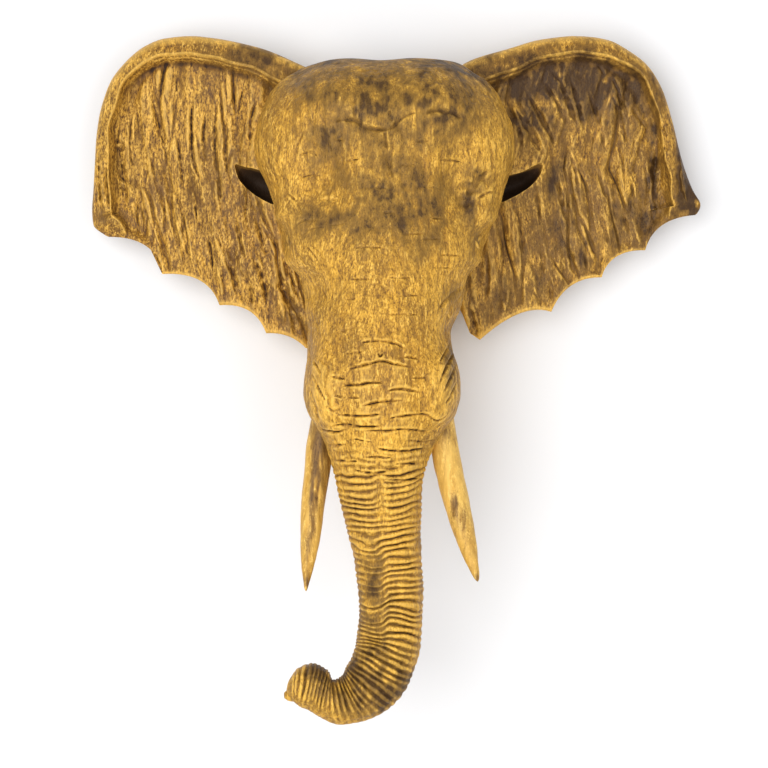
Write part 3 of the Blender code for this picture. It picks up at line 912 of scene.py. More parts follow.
@dataclass(frozen=True)
class HeadCarving:
    """What is carved into the head and trunk.

    Attributes:
        swellings: Round swellings and hollows of the face: x, z, half width, half height, rise.
        sides: The same on the sides of the head: y, z, half width, half height, rise.
        creases: Broad soft creases.
        crown: How far the crown is lowered: x, half width, drop.
        cuts: Sharp cuts.
        rings: The rings of the trunk.
        marks: Small marks, from coarse to fine.
    """

    swellings: tuple[Place, ...] = (
        (-66, 122, 56, 44, 14), (66, 124, 56, 44, 14), (0, -100, 56, 130, 9),
        (-92, 22, 36, 60, -17), (104, 4, 34, 66, -16),
        (-136, -36, 20, 50, 10), (142, -32, 20, 50, 10),
        (-99, -150, 28, 26, -11), (100, -160, 30, 26, -7),
        (-84, -284, 28, 52, 7), (86, -284, 28, 52, 8),
        (-50, -330, 16, 64, -5), (52, -330, 16, 64, -6),
        (2, -420, 7, 60, 2.5),
    )
    sides: tuple[Place, ...] = (
        (-198, -72, 36, 24, -9), (-202, -42, 40, 14, 7), (-192, -104, 36, 12, 6), (-120, -150, 60, 60, -8),
    )
    creases: Cuts = Cuts((
        (10, 2, (-78, 86), (-58, 90), (-40, 89), (-28, 80), (-3, 76), (12, 79), (20, 88), (37, 98),
         (50, 100)),
        (10, 2, (56, 97), (83, 104), (112, 92)), (9, 2, (0, 75), (5, 37), (13, 7)),
        (12, 4, (150, 25), (133, 4), (119, -15), (116, -39)), (11, 4, (-121, -128), (-110, -164)),
    ))
    crown: tuple[Place, ...] = ((-118, 30, 6), (-4, 34, 5), (132, 22, 4))
    cuts: tuple[Cuts, ...] = (FACE_CUTS, ROOT_CUTS)
    rings: Rings = Rings()
    marks: tuple = (
        Slits(11, 34, 0.7, 0.3, 0.9, 20), Skin(6, 15, 0.9, 30),
    )

    def apply(self, points: Array, straight: Array) -> Array:
        """Carves the smooth surface.

        Args:
            points: The smooth grid.
            straight: The same grid on a straight line.

        Returns:
            The carved grid.
        """
        normal = grid_normals(points, True)
        place = straight[..., 2]
        x, y, z = np.moveaxis(points, -1, 0)
        facing = np.clip(-normal[..., 1] * 1.6, 0, 1)
        inside = ramp(0, 30, place)
        broad = sum(swelling(x, z, spot) for spot in self.swellings) + self.creases.relief(x, z)
        cheek = sum(swelling(y, z, spot) for spot in self.sides)
        sideways = np.clip(np.abs(normal[..., 0]) * 1.5 - 0.5, 0, 1)
        lumps = 1.6 * soft_noise(straight / np.array([30, 30, 38]), 5) * inside
        points = points + normal * ((facing * broad + sideways * cheek) * inside + lumps)[..., None]
        lowered = sum(swelling(x, 0 * x, (middle, 0, wide, 1, drop)) for middle, wide, drop in self.crown)
        points[..., 2] -= lowered * ramp(90, 175, z)

        normal = grid_normals(points, True)
        x, y, z = np.moveaxis(points, -1, 0)
        fine = sum(cuts.relief(x, z) for cuts in self.cuts) * facing
        fine = fine + self.rings.relief(straight)
        skin = sum(mark.relief(straight) for mark in self.marks)
        trunk = ramp(560, 640, place)
        fine = fine + skin * (1 - 0.2 * trunk) * ramp(2, 24, place) * (1 - 0.5 * ramp(-30, -6, y))
        points = points + normal * fine[..., None]
        points[..., 1] = np.minimum(points[..., 1], 0)
        points[..., 2] = np.maximum(points[..., 2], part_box("head")[0][2] / SHARE + 0.1)
        return points


@dataclass(frozen=True)
class Tube:
    """A rod along stations of x, y, z and one or two radii.

    Attributes:
        stations: The stations.
        rings: How many rings it has.
        sides: How many sides.
        grow: How much wider it is all round, and longer at each end.
        level: The axis that its first radius is square to.
    """

    stations: tuple
    rings: int
    sides: int
    grow: float = 0.0
    level: Place = (0, 1, 0)

    def grid(self) -> Array:
        """Sweeps an ellipse along the smooth line through the stations.

        Returns:
            Rows that are closed loops.
        """
        stations = np.array(self.stations, float)
        if stations.shape[1] == 4:
            stations = np.column_stack([stations, stations[:, 3]])
        line = smooth_line(stations, self.rings)
        heading = unit(np.gradient(line[:, :3], axis=0))
        line[0, :3] -= heading[0] * self.grow
        line[-1, :3] += heading[-1] * self.grow
        line[:, 3:] += self.grow
        side = unit(np.cross(heading, self.level))
        return swept(line, side, np.cross(heading, side), self.sides)

    def body(self, name: str) -> Body:
        """Makes the rod as a body in the scene."""
        return Body.from_loops(name, self.grid())


@dataclass(frozen=True)
class Slot:
    """The deep slot beside a temple, under a flap of the ear.

    Attributes:
        stations: x, y, z, half depth and half height along it.
    """

    stations: tuple

    def cutter(self) -> Body:
        """Makes the body that is cut away, an ellipse swept along the smooth line through the stations.

        Returns:
            The cutter.
        """
        line = smooth_line(self.stations, 36)
        across, rise = unit(np.gradient(line[:, [0, 2]], axis=0)).T
        up = np.column_stack([-rise, 0 * rise, across]) * np.sign(across)[:, None]
        inward = np.tile([0.0, 1.0, 0.0], (len(line), 1))
        return Body.from_loops("slot", swept(line, inward, up, 28))


SLOTS = {
    Side.LEFT: Slot((
        (-230, -112, 50, 6, 2), (-221, -108, 44, 20, 5), (-207, -102, 30, 34, 13), (-190, -98, 19, 40, 18),
        (-176, -98, 12, 40, 20), (-160, -98, 4, 36, 20), (-144, -98, -4, 20, 10),
    )),
    Side.RIGHT: Slot((
        (246, -112, 62, 6, 2), (236, -108, 47, 20, 7), (222, -102, 31, 32, 11), (206, -98, 20, 40, 14),
        (190, -98, 13, 40, 16.5), (172, -98, 6, 38, 18), (150, -98, -6, 20, 9),
    )),
}


@dataclass(frozen=True)
class EyeForm:
    """An almond eye in the side of the head, with its lids.

    Attributes:
        place: Middle of the eyeball.
        long: Half length, along Y.
        high: Half height.
        lid: Half thickness of a lid.
    """

    place: Place
    long: float = 23
    high: float = 13
    lid: float = 4.2

    def bodies(self) -> list[Body]:
        """Makes the eyeball, an ellipsoid, and the two lids, each an arch over or under it.

        Returns:
            The bodies to add to the head.
        """
        x, y, z = self.place
        out = math.copysign(1, x)
        sides = np.linspace(0, 2 * math.pi, 40, endpoint=False)
        step = np.linspace(-0.995, 0.995, 30)[:, None]
        reach = np.sqrt(1 - step**2)
        ball = np.stack([
            x - 3 * out + self.high * step + 0 * sides,
            y + 4 + self.long * reach * np.cos(sides),
            z + self.high * reach * np.sin(sides),
        ], axis=2)
        turn = np.linspace(0, math.pi, 9)
        rise = np.sin(turn)
        lids = [
            np.column_stack([
                x + out * (8 * rise - 5), y - (self.long + 5) * np.cos(turn), z + up * (self.high + 1) * rise,
                self.lid * (0.45 + 0.55 * rise),
            ])
            for up in (1, -1)
        ]
        return [
            Body.from_loops("eyeball", ball),
            *[Tube(tuple(map(tuple, lid)), 30, 16, level=(1, 0, 0)).body("lid") for lid in lids],
        ]


TUSKS = {
    Side.LEFT: (
        (-80, -224, -292, 16.5), (-84, -226, -326, 18.5), (-92, -228, -375, 19.3), (-94.5, -233, -404, 19),
        (-100, -243, -446, 17.5), (-104, -259, -501, 14.2), (-107.5, -273, -543, 8.2),
        (-108.5, -280, -560, 4.8), (-108.9, -283, -568, 2.4), (-109, -284, -571, 0.8),
    ),
    Side.RIGHT: (
        (76, -224, -292, 16.5), (80, -226, -326, 18.5), (89.5, -230, -390, 20), (102, -243, -446, 18.8),
        (116, -259, -501, 14.2), (125, -271, -536, 8.2), (129, -277, -550, 4.8),
        (130.6, -279.4, -556, 2.4), (131, -280, -558, 0.8),
    ),
}


@dataclass
class HeadBlock:
    """The head and trunk, in three pieces that meet in one loop each.

    Attributes:
        finish: The wood.
        stains_and_shade: Where it is dark.
        brow_seam: Where the brow meets the face, along the line.
        seam: Where the face meets the trunk.
        line: The line it is drawn along.
        carving: What is carved into it.
        lip: Lower lip behind the trunk: x, y, z, half width, half depth.
        finger: The finger at the trunk's end.
        eyes: Middles of the eyes.
        seat_gap: Clearance all round a tusk.
    """

    finish: bpy.types.Material
    stains_and_shade: StainsAndShade
    brow_seam: float = 216.0
    seam: float = 452.0
    line: HeadLine = field(default_factory=HeadLine)
    carving: HeadCarving = field(default_factory=HeadCarving)
    lip: tuple = (
        (0, -70, -215, 66, 55), (0, -84, -262, 60, 46), (0, -104, -312, 50, 36), (0, -120, -356, 40, 27),
        (0, -136, -394, 28, 19), (0, -152, -422, 16, 13), (0, -166, -438, 6, 6),
    )
    finger: tuple = (
        (-108, -262, -708, 17, 17), (-124, -264, -716, 13, 14), (-135, -266, -719, 8, 10),
        (-140, -267, -719, 4, 5),
    )
    eyes: tuple = ((-131, -198, -72), (130, -198, -72))
    seat_gap: float = 0.6

    def rows(self, low: float, high: float, count: int) -> Array:
        """Distances along the line for the rows of one piece of the skull."""
        return self.line.face_rows(low, high, FINE.of(count))

    def carved(self, rows: Array, angles: Array) -> Array:
        """The carved surface at the given distances along the line and directions round it."""
        return self.carving.apply(*self.line.surface(rows, angles))

    def pieces(self) -> None:
        """Makes the brow, the face with its eyes and lip, and the trunk, which meet in shared loops."""
        wide = section_angles(178, 140, 2.5, FINE.of(352), FINE.of(40))
        brow_rows = self.rows(0.25, self.brow_seam, 244)
        face_rows = self.rows(self.brow_seam, self.seam, 238)
        grids = [self.carved(np.concatenate([brow_rows, face_rows[1:4]]), wide)[:-3]]
        lead = np.concatenate([brow_rows[-4:-1], face_rows])
        grids.append(self.carved(np.concatenate([lead, [self.seam + 1.2, self.seam + 2.4]]), wide)[3:-2])
        grids[1][0] = grids[0][-1]
        eyes = [part for place in self.eyes for part in EyeForm(place).bodies()]
        lip = Tube(self.lip, 60, 60).body("lip")
        for name, grid, added in (("brow", grids[0], []), ("face", grids[1], [*eyes, lip])):
            body = Body.from_loops(name, grid)
            for part in added:
                body.change(part, Join.ADD)
            for slot in SLOTS.values():
                body.change(slot.cutter(), Join.CUT)
            body.weather(self.stains_and_shade).dress(name, self.finish, "head_wood", "head")
        self.trunk(wide, grids[1][-1])

    def trunk(self, wide: Array, seam: Array) -> bpy.types.Object:
        """Makes the trunk with its finger and the sockets of the tusks.

        Its first loop is the face's last one, and a band of triangles leads from there to its own columns.

        Args:
            wide: Directions round the face's sections.
            seam: The face's last loop.

        Returns:
            The finished piece.
        """
        rows = np.linspace(self.seam + 1.6, self.line.end, FINE.of(420))
        narrow = section_angles(70, 75, 2.1, FINE.of(160), FINE.of(56))
        grid = self.carved(np.concatenate([self.seam - np.array([1.2, 0]), rows]), narrow)[2:]
        count, columns = grid.shape[:2]
        last = count * columns
        index = np.arange(last).reshape(count, columns)
        loop = last + 1 + np.arange(len(wide))
        low = cap_faces(index[-1], last)[:, [1, 0, 2]]
        top = cap_faces(loop, loop[-1] + 1)
        band = self.band(wide, loop, narrow, index[0])
        points = np.concatenate([grid.reshape(-1, 3), [grid[-1].mean(axis=0)], seam, [seam.mean(axis=0)]])
        faces = loop_faces(index).tolist() + low.tolist() + top.tolist() + band.tolist()
        body = Body.from_arrays("trunk", points, faces)
        body.change(Tube(self.finger, 30, 40).body("finger"), Join.ADD)
        for stations in TUSKS.values():
            body.change(Tube(stations, 60, 48, self.seat_gap).body("socket"), Join.CUT)
        return body.weather(self.stains_and_shade).dress("trunk", self.finish, "head_wood", "head")

    @staticmethod
    def band(wide: Array, loop: Array, narrow: Array, inner: Array) -> Array:
        """Triangles between two loops with different columns.

        Args:
            wide: Angles of the first loop.
            loop: Its vertices.
            narrow: Angles of the second loop.
            inner: Its vertices.

        Returns:
            Corners of the triangles.
        """
        angles = np.concatenate([wide[1:], [2 * math.pi], narrow[1:], [2 * math.pi]])
        from_first = np.arange(len(angles)) < len(wide)
        order = np.argsort(angles, kind="stable")
        steps = from_first[order]
        one = np.concatenate([[0], np.cumsum(steps)])[:-1]
        two = np.concatenate([[0], np.cumsum(~steps)])[:-1]
        a, a_next = loop[one % len(loop)], loop[(one + 1) % len(loop)]
        b, b_next = inner[two % len(inner)], inner[(two + 1) % len(inner)]
        third = np.where(steps, a_next, b_next)
        return np.column_stack([a, b, third])


LEFT_EAR_CUTS = Cuts((
    (4, 7, (-349, 152), (-335, 98), (-328, 70), (-325, 45)), (3, 4, (-352, 67), (-344, 30)),
    (4, 6, (-311, 95), (-304, 52), (-300, 10)), (3, 5, (-311, 177), (-311, 152)),
    (4, 8, (-286, 158), (-288, 107), (-286, 58), (-270, 13)),
    (4, 7, (-244, 161), (-253, 112), (-253, 70), (-244, -4), (-241, -46)),
    (3, 5, (-207, 171), (-215, 133), (-219, 107)), (4, 6, (-231, 104), (-237, 67), (-234, 27)),
    (4, 7, (-188, 146), (-198, 107), (-200, 58)), (3, 5, (-355, -30), (-358, -61)),
    (3, 5, (-282, -12), (-279, -37)), (4, 7, (-264, -58), (-258, -86), (-256, -118)),
    (4, 7, (-222, -30), (-213, -74), (-204, -100)), (4, 6, (-192, -30), (-179, -77), (-173, -100)),
    (5, 8, (-235, -92), (-224, -121), (-218, -152)), (5, 8, (-198, -89), (-182, -121), (-173, -171)),
    (4, 6, (-201, -131), (-195, -165)), (9, 9, (-156, -109), (-148, -149), (-119, -177)),
    (3, 5, (-378, 127), (-381, 82), (-377, 37)), (3, 5, (-396, 112), (-401, 67), (-399, 30)),
    (3, 5, (-367, 7), (-370, -30), (-365, -74)), (3, 5, (-334, 15), (-329, -22), (-328, -67)),
    (4, 6, (-303, -30), (-298, -67), (-289, -100)), (3, 5, (-267, 127), (-270, 82), (-265, 45)),
    (4, 6, (-325, 201), (-332, 171), (-334, 142)), (4, 5, (-182, -45), (-170, -64), (-156, -85)),
    (4, 6, (-143, -100), (-134, -134), (-121, -164)), (3, 5, (-252, -55), (-241, -82)),
    (5, -5, (-334, -100), (-340, -67), (-343, -40)), (5, -6, (-241, -156), (-243, -127), (-250, -100)),
    (5, -5, (-191, -189), (-197, -156)), (5, 8, (-428, -39), (-413, -30), (-397, -26)),
    (4, 9, (-427, 68), (-425, 20), (-421, -30)), (4, 9, (-416, 52), (-413, 5), (-409, -27)),
    (9, 11, (-405, 108), (-396, 63), (-390, 20), (-385, -18)),
), strength=0.62, thin=0.85, fold=0.26, reach=4.0, soft=0.3)
RIGHT_EAR_CUTS = Cuts((
    (4, 7, (180, 146), (203, 88), (206, 51)), (4, 7, (218, 146), (240, 109), (258, 64)),
    (4, 6, (194, 146), (218, 103), (240, 64)), (4, 6, (234, 173), (258, 137), (273, 103)),
    (3, 5, (249, 185), (264, 170)), (4, 8, (276, 182), (288, 143), (301, 88)),
    (3, 4, (319, 200), (331, 179)), (4, 6, (370, 134), (392, 103)),
    (5, 7, (410, 118), (419, 76), (416, 33), (410, -3)), (4, 7, (258, 33), (267, -15), (273, -43)),
    (4, 8, (288, -22), (307, -61), (319, -98)), (4, 6, (319, 39), (334, -6)),
    (4, 6, (325, -28), (337, -76)), (3, 5, (340, -6), (349, -40)), (4, 6, (370, 27), (377, -22)),
    (4, 6, (358, -28), (367, -58)), (5, 7, (279, -82), (285, -119)), (5, 8, (264, -98), (271, -125)),
    (5, 8, (249, -125), (249, -161)), (7, 8, (127, -168), (136, -201)),
    (4, 6, (305, 157), (322, 112), (331, 67)), (4, 6, (337, 157), (355, 115), (364, 67)),
    (3, 5, (277, 67), (288, 28), (292, -7)), (3, 5, (349, 82), (358, 45), (361, 7)),
    (4, 6, (221, 37), (229, -7), (234, -49)), (4, 6, (195, -15), (203, -55), (206, -100)),
    (4, 5, (232, -60), (237, -100), (234, -134)), (4, 6, (173, -49), (177, -94), (171, -134)),
    (4, 6, (153, -82), (155, -124), (149, -164)), (3, 5, (300, -85), (304, -112)),
    (4, 6, (389, 52), (396, 15), (393, -30)), (5, -6, (188, -137), (183, -156), (179, -174)),
    (5, -5, (322, -115), (313, -89), (304, -71)), (5, -5, (386, -76), (377, -49), (371, -30)),
    (5, 5, (397, -17), (427, -14), (457, -17)), (7, 6, (444, 80), (452, 35), (461, 0)),
    (9, 11, (408, 128), (412, 90), (409, 45), (404, 0)), (4, -14, (442, 64), (445, 20), (453, -12)),
    (5, 8, (196, 128), (222, 84), (240, 58)), (4, 7, (208, 160), (232, 118), (250, 84)),
    (5, 8, (262, 176), (276, 136), (290, 104)), (4, 7, (340, 182), (352, 150), (366, 112)),
), strength=0.62, thin=0.85, fold=0.26, reach=4.0, soft=0.3)


@dataclass(frozen=True)
class EarForm:
    """The shape of one ear, in front view.

    Attributes:
        side: Which ear.
        rim: The rim, from the root over the top to the outer corner.
        tips: Tips of the scalloped lower edge, from the outer corner inwards.
        pulls: The point that pulls each scallop inwards.
        root: The inner line, inside the head, from the lower edge up.
        lean: How far the ribs lean, sideways for each unit of drop, above and below the middle.
        band: How wide the rim is along its length.
        cuts: The long cuts.
    """

    side: Side
    rim: Knots
    tips: Knots
    pulls: Knots
    root: Knots
    lean: tuple[float, float]
    band: Knots
    cuts: Cuts


EARS = (
    EarForm(
        side=Side.LEFT,
        rim=(
            (-81, 174), (-126, 195), (-183, 219), (-253, 235), (-290, 239), (-328, 236), (-358, 225),
            (-386, 203), (-409, 174), (-419, 150), (-427, 121), (-432, 84), (-434, 46), (-436, 9),
            (-438, -20), (-436, -43), (-415, -61),
        ),
        tips=((-415, -61), (-332, -117), (-246, -164), (-176, -206), (-117, -228), (-73, -249)),
        pulls=((-341, -60), (-262, -113), (-192, -160), (-139, -204), (-96, -231)),
        root=((-73, -249), (-81, 174)),
        lean=(-0.03, 0.24),
        band=((0, 44), (0.2, 34), (0.4, 29), (0.6, 22), (0.72, 20), (0.86, 26), (0.97, 31), (1, 31)),
        cuts=LEFT_EAR_CUTS,
    ),
    EarForm(
        side=Side.RIGHT,
        rim=(
            (84, 174), (132, 202), (184, 218), (235, 233), (286, 239), (310, 238), (338, 233), (367, 218),
            (388, 203), (401, 189), (418, 159), (428, 129), (436, 99), (443, 69), (452, 39), (463, 10),
            (475, -13), (469, -28),
        ),
        tips=((469, -28), (392, -81), (326, -122), (250, -174), (143, -216)),
        pulls=((405, -32), (338, -80), (272, -121), (206, -159)),
        root=((143, -216), (128, -206), (117, -178), (100, -146), (84, -60), (84, 174)),
        lean=(0.26, 0.16),
        band=((0, 44), (0.2, 34), (0.4, 29), (0.6, 21), (0.74, 20), (0.86, 27), (0.97, 42), (1, 44)),
        cuts=RIGHT_EAR_CUTS,
    ),
)


@dataclass
class Ear:
    """One ear: a thick smooth rim round a field of long ribs, and a scalloped lower edge.

    Attributes:
        form: Its shape in front view.
        finish: The wood.
        stains_and_shade: Where it is dark.
        columns: Columns from the root to the outer corner.
        rows: Rows from the rim to the lower edge.
        back_every: The back uses each row of this many.
        thick: Half thickness.
        edge_thick: Half thickness at the lower edge.
        rim_height: How far the rim stands out.
        rib_spacing: Distance between the main ribs.
        rib_depth: Depth between them.
        flap: The swelling above the slot: from the middle, z, half width, half height, rise.
        dish: The hollow of the ear, in the same way.
        bark: The long slits between the ribs.
        strands: Shorter slits between those.
        marks: Fine gouge marks.
        columns_share: Share of the rim's length where the last column stands.
    """

    form: EarForm
    finish: bpy.types.Material
    stains_and_shade: StainsAndShade
    columns: int = 340
    rows: int = 250
    back_every: int = 10
    thick: float = 11
    edge_thick: float = 3
    rim_height: float = 13
    rib_spacing: float = 42
    rib_depth: float = 4.2
    flap: Place = (196, 62, 40, 40, 12)
    dish: Place = (320, 70, 110, 120, 12)
    bark: Slits = Slits(19, 120, 3.0, 0.17, 2.2, 50)
    strands: Slits = Slits(9.5, 48, 1.0, 0.25, 1.0, 56)
    marks: Skin = Skin(5, 15, 1.1, 62)
    columns_share: float = 0.995

    def outline(self) -> tuple[Array, Array]:
        """The rim as a smooth line, and the lower edge as one arc of a parabola between each two tips.

        Returns:
            The points of the rim and of the edge, at even distances.
        """
        t = np.linspace(0, 1, 60)[:, None]
        runs = [
            (1 - t) ** 2 * np.array(start) + 2 * t * (1 - t) * np.array(pull) + t**2 * np.array(end)
            for start, pull, end in zip(self.form.tips[:-1], self.form.pulls, self.form.tips[1:])
        ]
        edge = np.concatenate([runs[0]] + [run[1:] for run in runs[1:]])
        return smooth_line(self.form.rim, 600), along(edge, 600)

    def front_view(self, rim: Array, edge: Array) -> tuple[Array, Array]:
        """The grid in front view: columns that run from the rim to the lower edge.

        Args:
            rim: The rim's points.
            edge: The lower edge's points.

        Returns:
            x and z, a column of the ear to each row of the arrays.
        """
        share = np.linspace(0, 1, FINE.of(self.columns))
        across = np.linspace(0, 1, FINE.of(self.rows))[None]
        whole = np.linspace(0, 1, len(rim))
        start = share * self.columns_share
        top = np.column_stack([np.interp(start, whole, column) for column in rim.T])
        low = np.column_stack([np.interp(1 - start, whole, column) for column in edge.T])
        x = top[:, :1] * (1 - across) + low[:, :1] * across
        z = top[:, 1:] * (1 - across) + low[:, 1:] * across
        if len(self.form.root) > 2:
            bulge = along(self.form.root[::-1], 300)
            first = [np.interp(across[0], np.linspace(0, 1, 300), column) for column in bulge.T]
            pull = np.clip(1 - share[:, None] / 0.25, 0, 1) ** 2
            x = x + pull * (first[0] - x[0])[None]
            z = z + pull * (first[1] - z[0])[None]
        return x, z

    def ribs(self, x: Array, z: Array) -> Array:
        """The carving of the ear's field: leaning ribs with slits and marks over them.

        Args:
            x: Places across.
            z: Places up.

        Returns:
            Distance out.
        """
        above, below = self.form.lean
        straight = x - above * np.maximum(z - 40, 0) + below * np.minimum(z - 40, 0)
        place = straight / self.rib_spacing + 0.25 * flat_noise(x, z, 60, 70, 44)
        strength = 0.7 + 0.3 * np.sin(z / 47 + 2.4 * np.round(place))
        out = -self.rib_depth * np.abs(np.cos(math.pi * place)) ** 3 * strength
        flat = np.stack([straight, z], axis=-1)
        for skin in (self.bark, self.strands, self.marks):
            out = out + skin.relief(flat)
        return out + 1.5 * soft_noise(flat / np.array([24, 60]), 48)

    def build(self) -> bpy.types.Object:
        """Makes the ear.

        Returns:
            The finished piece.
        """
        rim, edge = self.outline()
        x, z = self.front_view(rim, edge)
        low, high = np.array(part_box("head")) / SHARE
        x, z = np.clip(x, low[0] + 0.1, high[0] - 0.1), np.minimum(z, high[2] - 0.1)
        rim_gap, rim_place, _ = line_gap(rim[::4], x, z)
        edge_gap, _, _ = line_gap(edge[::3], x, z)
        root_gap, _, _ = line_gap(along(self.form.root, 40), x, z)
        inner = np.minimum(rim_gap, root_gap)
        round_rim = np.sqrt(1 - (1 - np.clip(inner / self.thick, 0, 1)) ** 2)
        round_edge = np.sqrt(1 - (1 - np.clip(edge_gap / self.edge_thick, 0, 1)) ** 2)
        grown = self.edge_thick + (self.thick - self.edge_thick) * ramp(0, 70, edge_gap)
        half = np.minimum(self.thick * round_rim, grown * round_edge)

        band = profile(self.form.band, rim_place) + 2.5 * flat_noise(x, z, 30, 30, 45)
        away = np.clip(np.abs(x), 120, 470)
        middle = -84 + 22 * ramp(120, 450, away)
        slope = 0.3 + 0.7 * np.clip(rim_gap / band, 0, 1) ** 1.2
        outer = ramp(0.42, 0.62, rim_place)
        crest = self.rim_height * slope * (1 - ramp(band - 1, band + 15 - 8 * outer, rim_gap)) * round_rim
        crest = crest + 1.2 * np.exp(-(((rim_gap - band + 1) / 1.6) ** 2))
        crest = crest - 2.2 * np.exp(-(((rim_gap - band - 2.5) / 1.7) ** 2))
        crest = crest * ramp(0, 22, edge_gap)
        under = -(1.5 + 5.5 * outer) * np.exp(-(((rim_gap - band - 9 - 4 * outer) / (6 + 6 * outer)) ** 2))
        under = under * ramp(2, 20, edge_gap)
        field_share = ramp(band + 1, band + 12 + 10 * outer, rim_gap)
        thin = 0.25 + 0.75 * ramp(2, 16, edge_gap)
        carved = self.ribs(x, z) * field_share * thin
        carved = carved + self.form.cuts.relief(x, z) * (0.35 + 0.65 * ramp(3, 16, edge_gap))
        wide_marks = self.marks.relief(np.stack([x, z], axis=-1) * 0.7)
        smooth = 0.9 * flat_noise(x, z, 17, 17, 46) + 0.4 * wide_marks
        carved = carved + smooth * (1 - field_share) * np.minimum(round_rim, round_edge)
        flap = swelling(np.abs(x), z, self.flap) * round_rim * ramp(2, 30, edge_gap)
        dish = swelling(np.abs(x), z, self.dish) * field_share * ramp(2, 14, edge_gap)
        carved = np.clip(carved, -half - 2, 6) * np.clip(half / 3, 0, 1)
        front = middle - half - crest - under - carved - flap + dish
        thicker = 34 * (1 - ramp(170, 260, away)) * round_rim
        plain = 1.2 * flat_noise(x, z, 22, 30, 47) * round_rim * round_edge
        back = np.minimum(middle + half + thicker + 0.7 * dish + plain, -14)
        back = np.maximum(back, front + 2 * np.minimum(half, 2))
        return self.body(x, z, front, middle, back)

    def body(self, x: Array, z: Array, front: Array, middle: Array, back: Array) -> bpy.types.Object:
        """Joins the front and a coarser back along their outline and finishes the ear.

        Args:
            x: The grid's x.
            z: The grid's z.
            front: y of the front.
            middle: y of the outline.
            back: y of the back.

        Returns:
            The finished piece.
        """
        columns, rows = x.shape
        outer = np.zeros(x.shape, bool)
        outer[[0, -1]] = outer[:, [0, -1]] = True
        shown = np.stack([x, np.where(outer, middle, front), z], axis=2)
        index = np.arange(columns * rows).reshape(columns, rows)
        corners = [index[:-1, :-1], index[:-1, 1:], index[1:, 1:], index[1:, :-1]]
        picked = np.unique(np.concatenate([np.arange(0, rows, self.back_every), [rows - 1]]))
        rear = np.stack([x, back, z], axis=2)[1:-1, picked[1:-1]]
        behind = index[:, picked].copy()
        behind[1:-1, 1:-1] = columns * rows + np.arange(rear.shape[0] * rear.shape[1]).reshape(rear.shape[:2])
        rear_corners = [behind[1:-2, :-1], behind[2:-1, :-1], behind[2:-1, 1:], behind[1:-2, 1:]]
        faces = []
        for four in (corners, rear_corners):
            faces += np.stack(four, axis=2).reshape(-1, 4).tolist()
        for low, high, step in zip(picked[:-1], picked[1:], range(len(picked) - 1)):
            faces.append(index[0, low:high + 1][::-1].tolist() + behind[1, [step, step + 1]].tolist())
            faces.append(index[-1, low:high + 1].tolist() + behind[-2, [step + 1, step]].tolist())
        body = Body.from_arrays("ear", np.concatenate([shown.reshape(-1, 3), rear.reshape(-1, 3)]), faces)
        body.change(SLOTS[self.form.side].cutter(), Join.CUT).weather(self.stains_and_shade)
        return body.dress(f"ear_{self.form.side.value}", self.finish, "head_wood", "head")


@dataclass
class Tusk:
    """A smooth tusk, let into a socket under the cheek.

    Attributes:
        side: Which tusk.
        finish: The wood.
        stains_and_shade: Where it is dark.
        ripple: How uneven its carved surface is.
    """

    side: Side
    finish: bpy.types.Material
    stains_and_shade: StainsAndShade
    ripple: float = 0.5

    def build(self) -> bpy.types.Object:
        """Makes the tusk, a swept ellipse with a slight unevenness below its socket.

        Returns:
            The finished piece.
        """
        grid = Tube(TUSKS[self.side], FINE.of(150), FINE.of(72)).grid()
        normal = -grid_normals(grid, True)
        middle = grid.mean(axis=1, keepdims=True)
        normal = normal * np.sign(((grid - middle) * normal).sum(axis=2).mean())
        broad = soft_noise(grid / np.array([7, 7, 30]), 90)
        uneven = broad + 0.5 * soft_noise(grid / np.array([3, 3, 18]), 91)
        shown = ramp(-330, -380, grid[..., 2])
        grid = grid + normal * (self.ripple * (uneven - 0.9) * shown)[..., None]
        body = Body.from_loops("tusk", grid).weather(self.stains_and_shade)
        node = f"tusk_{self.side.value}"
        return body.dress(f"carved_{node}", self.finish, "tusk_wood", node)


Socket = bpy.types.NodeSocket


